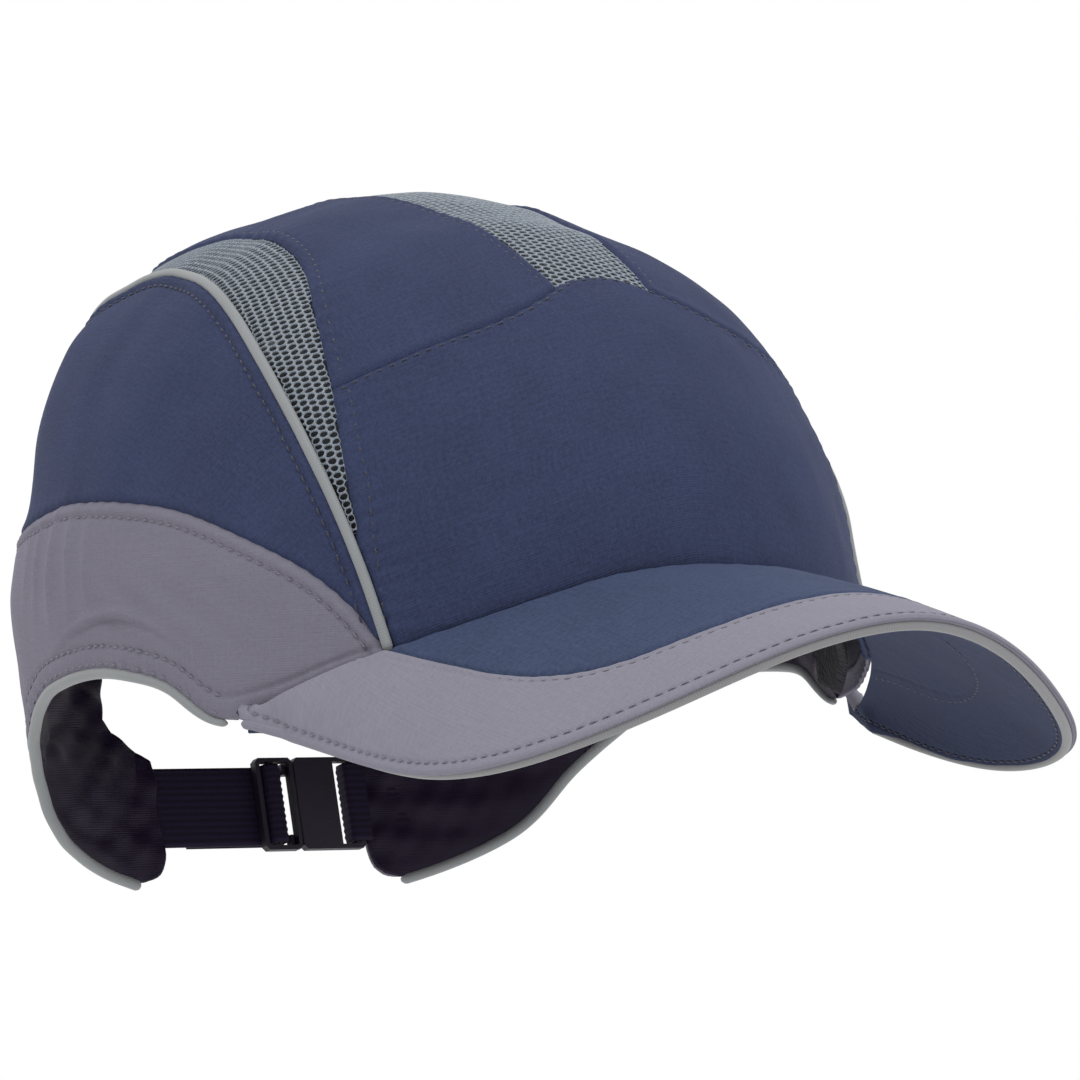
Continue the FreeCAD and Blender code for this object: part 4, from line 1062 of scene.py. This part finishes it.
# The cloth is drawn past the board at the corners: y and z of the tips of the seam and of the edge.
RIGHT_TIPS = ((-52.3, -16.8), (-53.2, -19.2))
LEFT_TIPS = ((-47.4, -13.6), (-48.4, -16.0))
PEAK_CAMBER, PEAK_END = 1.5, 0.996
HALF_BINDING = 1.9
CLOTH_TOP, CLOTH_THICKNESS = 1.7, 0.7


def with_tips(line, which):
    """A line of the peak from its left end to its right, drawn out to the tips of its cloth."""
    first, last = mirrored(from_side(*LEFT_TIPS[which])), from_side(*RIGHT_TIPS[which])
    return resample(np.concatenate([first[None], smooth_line(line, 801), last[None]]), 801)


peak_inner = with_tips(peak_seam, 0)
peak_inner = peak_inner + crown_normal(on_crown(peak_inner)) * (
    0.35 + HALF_BINDING * np.abs(np.linspace(-1.0, 1.0, 801)) ** 3)[:, None]
peak_outer = with_tips(across_centre(np.array(PEAK_EDGE, float)), 1)
outer_foot = on_crown(peak_outer)
outer_facing = crown_normal(outer_foot)
stand_off = np.einsum("ij,ij->i", peak_outer - outer_foot, outer_facing)
peak_outer = peak_outer + outer_facing * np.maximum(0.0, HALF_BINDING + 0.4 - stand_off)[:, None]
border_curve = smooth_line(np.array([(x, y, 0.0) for x, y in BORDER_LINE]), 201)


def along_line(line, across):
    """Points of a line at -1 to 1 from its first end to its last."""
    place = (np.clip(across, -1.0, 1.0) + 1.0) / 2.0 * (len(line) - 1)
    return read_along(place, np.arange(len(line)), line)


def peak_point(across, out):
    """Points of the peak's middle face: across is -1 at its left corner and 1 at its right, out is 0 to 1."""
    inner, outer = along_line(peak_inner, across), along_line(peak_outer, across)
    point = inner + (outer - inner) * out[..., None]
    point[..., 2] += PEAK_CAMBER * 4.0 * out * (1.0 - out)
    return point


def peak_normal(across, out):
    step = 0.01
    sideways = peak_point(across + step, out) - peak_point(across - step, out)
    outward = peak_point(across, out + step) - peak_point(across, out - step)
    return unit(np.cross(sideways, outward))


def peak_width(across):
    return np.linalg.norm(along_line(peak_outer, across) - along_line(peak_inner, across), axis=-1)


def border_share(across):
    """Where the border starts, as a share of the way out to the edge."""
    return np.where(np.abs(across) < BORDER_LINE[-1][0],
                    np.maximum(0.0, np.interp(np.abs(across), border_curve[:, 0], border_curve[:, 1])), 0.0)


border_3d = peak_point(np.linspace(-0.72, 0.72, 401), border_share(np.linspace(-0.72, 0.72, 401)))


def peak_waves(points):
    """The peak's cloth is stretched over the board, with very slight unevenness."""
    return 0.10 * waves(points, 26.0, 31) + 0.05 * waves(points, 9.0, 32)


def peak_block(start, end, reach, columns, rows, side, relief):
    """A block of cloth on one face of the peak between two shares of the way out, out to +-reach across."""
    across = np.linspace(-reach, reach, columns)[:, None] * np.ones(rows)
    first, last = start(across), end(across)
    out = first + (last - first) * np.linspace(0.0, 1.0, rows)[None, :]
    points, normals = peak_point(across, out), peak_normal(across, out) * side
    width = peak_width(across)
    rise = CLOTH_TOP + relief(points, out * width, (1.0 - out) * width)
    places = np.stack([points[..., 0], points[..., 1], np.zeros_like(out)], -1)
    return points, normals, rise, places


def at_seam(across):
    return 0.1 / peak_width(across)


def at_binding(across):
    return 1.0 - 0.4 / peak_width(across)


def at_edge(across):
    return 1.0 + 0.5 / peak_width(across)


def border_from(sign):
    return lambda across: np.maximum(at_seam(across), border_share(across) + sign * 0.1 / peak_width(across))


BORDER_ROWS = (2.1,)
EDGE_ROWS = (1.9,)


def top_relief(points, from_seam, from_edge):
    distance, run = near(points, border_3d)
    rise = peak_waves(points) + seam_edge(distance) * 0.8 + puckers(run, distance, 5.0, 3.0, 0.07, 33)
    return rise - 0.8 * np.exp(-from_seam / 1.2) + puckers(points[..., 0], from_seam, 5.2, 5.0, 0.10, 34)


def border_relief(points, from_seam, from_edge):
    distance, run = near(points, border_3d)
    rise = peak_waves(points) + seam_edge(distance) * 0.6 + stitch_line(distance, BORDER_ROWS[0])
    for row in EDGE_ROWS:
        rise = rise + stitch_line(from_edge, row)
    return rise + puckers(run, distance, 4.2, 3.0, 0.06, 35) - 0.25 * np.exp(-from_edge / 1.2)


# The stitched loop on the peak's underside: share along the half seam, share out to the edge.
LOOP = [(0.721, 0.054), (0.679, 0.19), (0.637, 0.315), (0.572, 0.489), (0.535, 0.54), (0.479, 0.573),
        (0.404, 0.603), (0.295, 0.638), (0.22, 0.624)]
loop_shares = smooth_line(np.array([(x, y, 0.0) for x, y in LOOP]), 121)


def peak_row(across, out, side, spacing=0.7):
    """A line on one face of the peak, and its normals."""
    points, normals = peak_point(across, out), peak_normal(across, out)
    run = lengths(points)
    wanted = np.linspace(0.0, run[-1], max(8, int(run[-1] / spacing)))
    return read_along(wanted, run, points), unit(read_along(wanted, run, normals)) * side


loop_line, _ = peak_row(loop_shares[:, 0], loop_shares[:, 1], -1.0)


def under_relief(points, from_seam, from_edge):
    rise = peak_waves(points)
    for line in (loop_line, mirrored(loop_line)):
        distance, run = near(points, line)
        rise = rise + stitch_line(distance, 0.0) + puckers(run, distance, 4.5, 3.0, 0.05, 36)
    for row in EDGE_ROWS:
        rise = rise + stitch_line(from_edge, row)
    return rise - 0.25 * np.exp(-from_edge / 1.2)


def peak_stitches(name, rows, side, material, lift):
    """Stitch rows on the peak, from (across, out) lines."""
    parts = []
    for across, out in rows:
        line, facing = peak_row(across, out, side)
        parts.append(stitches(line + facing * (CLOTH_TOP + peak_waves(line) + lift)[:, None], facing))
    points, faces, cloth = merged(parts)
    return place_piece(make_mesh(name, points, faces, material, cloth))


def edge_line(distance, reach=PEAK_END):
    across = np.linspace(-reach, reach, 501)
    return across, 1.0 - distance / peak_width(across)


inside_border = np.linspace(-0.679, 0.679, 401)
border_row = (inside_border, border_share(inside_border) + BORDER_ROWS[0] / peak_width(inside_border))
stitch_sets = {
    "peak_border_stitches": ([border_row] + [edge_line(row) for row in EDGE_ROWS], 1.0, grey_thread),
    "peak_under_stitches": ([edge_line(row) for row in EDGE_ROWS]
                            + [(sign * loop_shares[:, 0], loop_shares[:, 1]) for sign in (1.0, -1.0)], -1.0,
                            navy_thread),
}
peak_rows = {}
for name, (rows, side, material) in stitch_sets.items():
    peak_rows[name] = peak_stitches(name, rows, side, material, -0.06)

peak_cloths = [
    ("peak_top_cloth", peak_block(at_seam, border_from(-1), 0.669, 301, 91, 1.0, top_relief), peak_cloth,
     "navy_twill", "peak_top", []),
    ("peak_border_cloth", peak_block(border_from(1), at_binding, PEAK_END, 401, 71, 1.0, border_relief),
     border_cloth, "grey_twill", "peak_border", [peak_rows["peak_border_stitches"]]),
    ("peak_under_cloth", peak_block(at_seam, at_edge, PEAK_END, 301, 121, -1.0, under_relief), under_cloth,
     "navy_twill", "peak_under", [peak_rows["peak_under_stitches"]]),
]
for name, block, material, slot, node, rows in peak_cloths:
    piece = sheet_from(name, [block], CLOTH_THICKNESS, material, roll=0.25)
    place_piece(piece, [node])
    flat, area = cut_size([block])

edge_across = np.linspace(-PEAK_END, PEAK_END, 601)
edge_points, edge_facing = peak_row(edge_across, np.full(601, 1.0), 1.0, 0.6)
# The tape is drawn thin at the corners; the border's cloth rolls over the board above it.
from_corner = np.minimum(lengths(edge_points), lengths(edge_points)[-1] - lengths(edge_points))
drawn = 0.45 + 0.55 * ease(from_corner / 40.0)
tape_line = edge_points - edge_facing * (0.15 + 0.45 * drawn)[:, None]
tape("peak_binding_tape", tape_line, edge_facing, 1.1, 1.15 * drawn, 16,
     binding_tape, ["peak_binding"])
tape("peak_edge_roll", edge_points + edge_facing * 1.15, edge_facing, 1.15, 0.8, 16,
     border_cloth)

# --------------------------------------------------------------------------- straps
STRAP_ORIGIN = np.array([0.0, 70.39, -34.13])
STRAP_TILT = math.radians(12.0)
STRAP_OUT = np.array([0.0, math.cos(STRAP_TILT), -math.sin(STRAP_TILT)])
STRAP_UP = np.array([0.0, math.sin(STRAP_TILT), math.cos(STRAP_TILT)])
STRAP_WIDTH, STRAP_THICKNESS = 19.0, 1.4
ROOT_DEPTH = 1.9
STRAP_PLANE, OVER_BAR, TAIL_PLANE = 2.1, -2.05, 3.85
RIB_PITCH = 1.6
COARSE_ROWS = 9
SOFT_STEP = 0.15


def softened(points, radius):
    """A bent line with its corners rounded."""
    fine = resample(points, int(lengths(np.asarray(points, float))[-1] / SOFT_STEP))
    reach = int(radius / SOFT_STEP)
    padded_line = np.concatenate([np.repeat(fine[:1], reach, 0), fine, np.repeat(fine[-1:], reach, 0)])
    kernel = np.ones(2 * reach + 1) / (2 * reach + 1)
    smooth = np.stack([np.convolve(padded_line[:, axis], kernel, "valid") for axis in range(3)], -1)
    smooth[0], smooth[-1] = fine[0], fine[-1]
    return smooth


def strap_place(x, out, up):
    """A point given along the strap, out of the nape and up the strap's width."""
    return STRAP_ORIGIN + np.array([x, 0.0, 0.0]) + STRAP_OUT * out + STRAP_UP * up


def strap_mesh(name, middle, roots, sign, material):
    """A ribbed strap along its middle line (along, out), its end sewn into a tab at the roots' distances."""
    widths = np.linspace(-STRAP_WIDTH / 2.0, STRAP_WIDTH / 2.0, 69)
    bent = softened([(x, out, 0.0) for x, out in middle], 0.7)
    coarse = []
    for up in np.linspace(widths[0], widths[-1], COARSE_ROWS):
        line = [strap_place(x, out, up) for x, out, _ in bent]
        sewn = []
        for x in roots:
            foot = from_behind(sign * x, STRAP_ORIGIN[2] + up * math.cos(STRAP_TILT))
            sewn.append(foot - crown_normal(foot) * ROOT_DEPTH)
        if sewn:
            bridge = smooth_line(np.array(sewn + line[:1] + line[20:21]), 60)
            bridge = bridge[: nearest(bridge, line[0])]
            line = list(bridge) + line
        coarse.append(resample(line, 150))
    coarse = np.stack(coarse, 1)
    place = np.linspace(0, COARSE_ROWS - 1, len(widths))
    grid = np.stack([read_along(place, np.arange(COARSE_ROWS), row) for row in coarse])
    along = unit(np.gradient(grid, axis=0))
    across = unit(np.gradient(grid, axis=1))
    normals = unit(np.cross(along, across))
    run = lengths(grid[:, len(widths) // 2])
    ribs = 0.11 * np.cos(widths[None, :] * 2.0 * math.pi / RIB_PITCH) * np.ones((len(run), 1))
    thin = np.minimum(1.0, 0.45 + (STRAP_WIDTH / 2.0 - np.abs(widths)) / 0.9)[None, :]
    half = (STRAP_THICKNESS / 2.0 - 0.12) * thin + ribs
    cloth = np.stack([np.broadcast_to(run[:, None], ribs.shape), np.broadcast_to(widths[None, :], ribs.shape),
                      np.zeros_like(ribs)], -1)
    upper, lower = grid + normals * half[..., None], grid - normals * half[..., None]
    count = upper.shape[0] * upper.shape[1]
    quads = grid_quads(*grid.shape[:2])
    faces = two_sided(quads, count)
    points = np.concatenate([upper.reshape(-1, 3), lower.reshape(-1, 3)])
    return make_mesh(name, points, faces, material, np.concatenate([cloth.reshape(-1, 3)] * 2))


ROOTS = (44.0, 40.0, 36.0, 33.0)
ELASTIC = [(-28.3, STRAP_PLANE), (0.2, STRAP_PLANE), (1.2, OVER_BAR), (3.75, OVER_BAR), (4.3, -0.9),
           (4.3, STRAP_PLANE)]
WEBBING = [(28.3, STRAP_PLANE), (23.4, STRAP_PLANE), (23.1, OVER_BAR), (28.0, OVER_BAR)]
elastic = strap_mesh("elastic_strap_weave", ELASTIC, ROOTS, -1.0, elastic_weave)
webbing = strap_mesh("webbing_weave", WEBBING, ROOTS, 1.0, elastic_weave)
tail_line = [(-20.6, TAIL_PLANE), (6.3, TAIL_PLANE)]
tail = strap_mesh("strap_tail_weave", tail_line, (), 1.0, elastic_weave)
place_piece(tail, ["strap_tail"], "tail")


def bent_strap(piece, nodes):
    """The strap stands for its CAD nodes and its transform is baked into its points; its bend where it leaves
    its tab is built into its mesh.
    """
    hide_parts(*nodes)
    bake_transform(piece)


bent_strap(elastic, ["elastic_strap", "elastic_root"])
bent_strap(webbing, ["left_webbing", "webbing_root"])

# --------------------------------------------------------------------------- pads and sweatband
def pillow(name, grid, depth, thickness, edge, material, node, dimple=0.12):
    """A closed soft pad against the shell: its inner face is crowned and its edges are rounded."""
    along, up = spans(grid)
    gap = np.minimum(np.minimum(along, along[-1:] - along), np.minimum(up, up[:, -1:] - up))
    share = np.sqrt(1.0 - (1.0 - np.clip(gap / edge, 0.0, 1.0)) ** 2)
    full = thickness * (0.30 + 0.70 * share) + dimple * waves(grid, 12.0, 41) * share
    normals = crown_normal(grid)
    outer = grid - normals * (depth + 0.15 + 0.10 * thickness * (1.0 - share))[..., None]
    inner = grid - normals * (depth + full)[..., None]
    count = grid.shape[0] * grid.shape[1]
    quads = grid_quads(*grid.shape[:2])
    first, second, third = (grid.reshape(-1, 3)[quads[:, i]] for i in range(3))
    facing = np.cross(second - first, third - first)
    if np.einsum("ij,ij->i", facing, normals.reshape(-1, 3)[quads[:, 0]]).sum() < 0:
        quads = quads[:, ::-1]
    faces = two_sided(quads, count)
    points = np.concatenate([outer.reshape(-1, 3), inner.reshape(-1, 3)])
    cloth = np.stack([along, up, np.zeros_like(up)], -1).reshape(-1, 3)
    piece = make_mesh(name, points, faces, material, np.concatenate([cloth, cloth]))
    place_piece(piece, [node])


def level_strip(azimuths, low, high, spacing=1.5):
    """A crown grid between two levels."""
    turns = np.linspace(*azimuths, 61)
    bottom = even(on_crown(np.stack([at(turn, low) for turn in turns])), spacing)
    top = on_crown(resample(on_crown(np.stack([at(turn, high) for turn in turns])), len(bottom)))
    rows = max(7, int(np.linalg.norm(top[len(top) // 2] - bottom[len(top) // 2]) / spacing))
    return strip(bottom, top, rows)


PAD_DEPTH, PAD_THICKNESS, PAD_EDGE = 5.3, 4.0, 3.5
BAND_THICKNESS, BAND_EDGE = 2.5, 2.5


def foam_pad(name, node, grid):
    pillow(name, grid, PAD_DEPTH, PAD_THICKNESS, PAD_EDGE, foam, node)


foam_pad("front_pad_foam", "front_pad", level_strip((-42, 42), 23.5, 38))
side_grid = level_strip((64, 118), 16.5, 25)
for side, sign in SIDES:
    foam_pad(f"side_pad_foam_{side}", f"side_pad_{side}", on_side(side_grid, sign))
foam_pad("rear_pad_foam", "rear_pad", level_strip((146, 214), 23, 36))
crown_rows = [on_crown(np.stack([from_above(x, y) for x in np.linspace(-30, 30, 41)])) for y in (-26, 40)]
foam_pad("crown_pad_foam", "crown_pad", strip(*crown_rows, 43))
from_end = np.minimum(lengths(peak_seam), lengths(peak_seam)[::-1])
band_low = on_crown(resample(shifted(peak_seam, (1.0 - 7.0 * (1.0 - ease(from_end / 14.0)))[:, None]), 161))
band_high = line_at([(-60, 8), (-40, 15), (-20, 19), (0, 20), (20, 19), (40, 15), (60, 8)], 161)
pillow("sweatband_towelling", strip(band_low, band_high, 31), PAD_DEPTH, BAND_THICKNESS, BAND_EDGE,
       towelling, "sweatband", dimple=0.2)

# --------------------------------------------------------------------------- carried-over plastic
PLASTIC = {"bump_shell": (shell_black, 0.6), "peak_board": (board_black, 0.3),
           "clasp_frame": (clasp_black, 0.25), "clasp_hook": (clasp_black, 0.25)}
for node, (material, rounding) in PLASTIC.items():
    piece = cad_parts[node]
    piece.data.materials.clear()
    piece.data.materials.append(material)
    edge = piece.modifiers.new("moulded_edges", "BEVEL")
    edge.width = rounding * MM
    edge.segments = 2
    edge.limit_method = "ANGLE"
    edge.angle_limit = math.radians(40.0)

# --------------------------------------------------------------------------- floor, light and camera
FLOOR_LEVEL, FLOOR_RADIUS, FLOOR_CORNERS = -0.34, 8.0, 96
AIM = (0.0, -0.02, 0.0)
CAMERA_LENS, CAMERA_SENSOR = 215.005, 36.0
CAMERA_NEAR, CAMERA_FAR = 0.05, 40.0
CAMERA_PLACE = (-0.819365, -1.225479, -0.060231)
CAMERA_RIGHT = (0.82154, -0.56943, -0.02868)
CAMERA_UP = (-0.00883, -0.06300, 0.99797)
CAMERA_BACK = (-0.57008, -0.81962, -0.05679)

floor_surface = Surface("pale_floor", 0.9)
floor_tone = floor_surface.noise(floor_surface.space((1.0, 1.0, 1.0)), 3.0, 2.0)
floor_surface.colours(floor_tone, (0.3, (0.86, 0.86, 0.86, 1.0)), (0.7, (0.88, 0.88, 0.88, 1.0)))
turns = np.linspace(0.0, 2.0 * math.pi, FLOOR_CORNERS, endpoint=False)
floor_points = [(math.cos(turn) * FLOOR_RADIUS / MM, math.sin(turn) * FLOOR_RADIUS / MM, FLOOR_LEVEL / MM)
                for turn in turns]
floor = make_mesh("floor", floor_points, [list(range(FLOOR_CORNERS))], floor_surface.material)

world = bpy.data.worlds.new("studio")
bpy.context.scene.world = world
world.use_nodes = True
world.node_tree.nodes["Background"].inputs["Color"].default_value = (1.0, 1.0, 1.0, 1.0)
world.node_tree.nodes["Background"].inputs["Strength"].default_value = 1.0


def softbox(name, place, power, size):
    """A large soft light aimed at the cap."""
    light = bpy.data.lights.new(name, "AREA")
    light.energy, light.size = power, size
    lamp = bpy.data.objects.new(name, light)
    lamp.location = place
    lamp.rotation_euler = (Vector(AIM) - Vector(place)).to_track_quat("-Z", "Y").to_euler()
    bpy.context.scene.collection.objects.link(lamp)


softbox("key_light", (-0.2, -0.6, 1.6), 9.0, 0.9)
softbox("front_light", (-0.2, -1.6, 0.4), 1.1, 0.8)

camera_data = bpy.data.cameras.new("camera")
camera_data.lens, camera_data.sensor_width = CAMERA_LENS, CAMERA_SENSOR
camera_data.clip_start, camera_data.clip_end = CAMERA_NEAR, CAMERA_FAR
camera = bpy.data.objects.new("camera", camera_data)
turned = Matrix((CAMERA_RIGHT, CAMERA_UP, CAMERA_BACK)).transposed().to_4x4()
camera.matrix_world = Matrix.Translation(CAMERA_PLACE) @ turned
bpy.context.scene.collection.objects.link(camera)
bpy.context.scene.camera = camera
bpy.context.scene.view_settings.view_transform = "Standard"
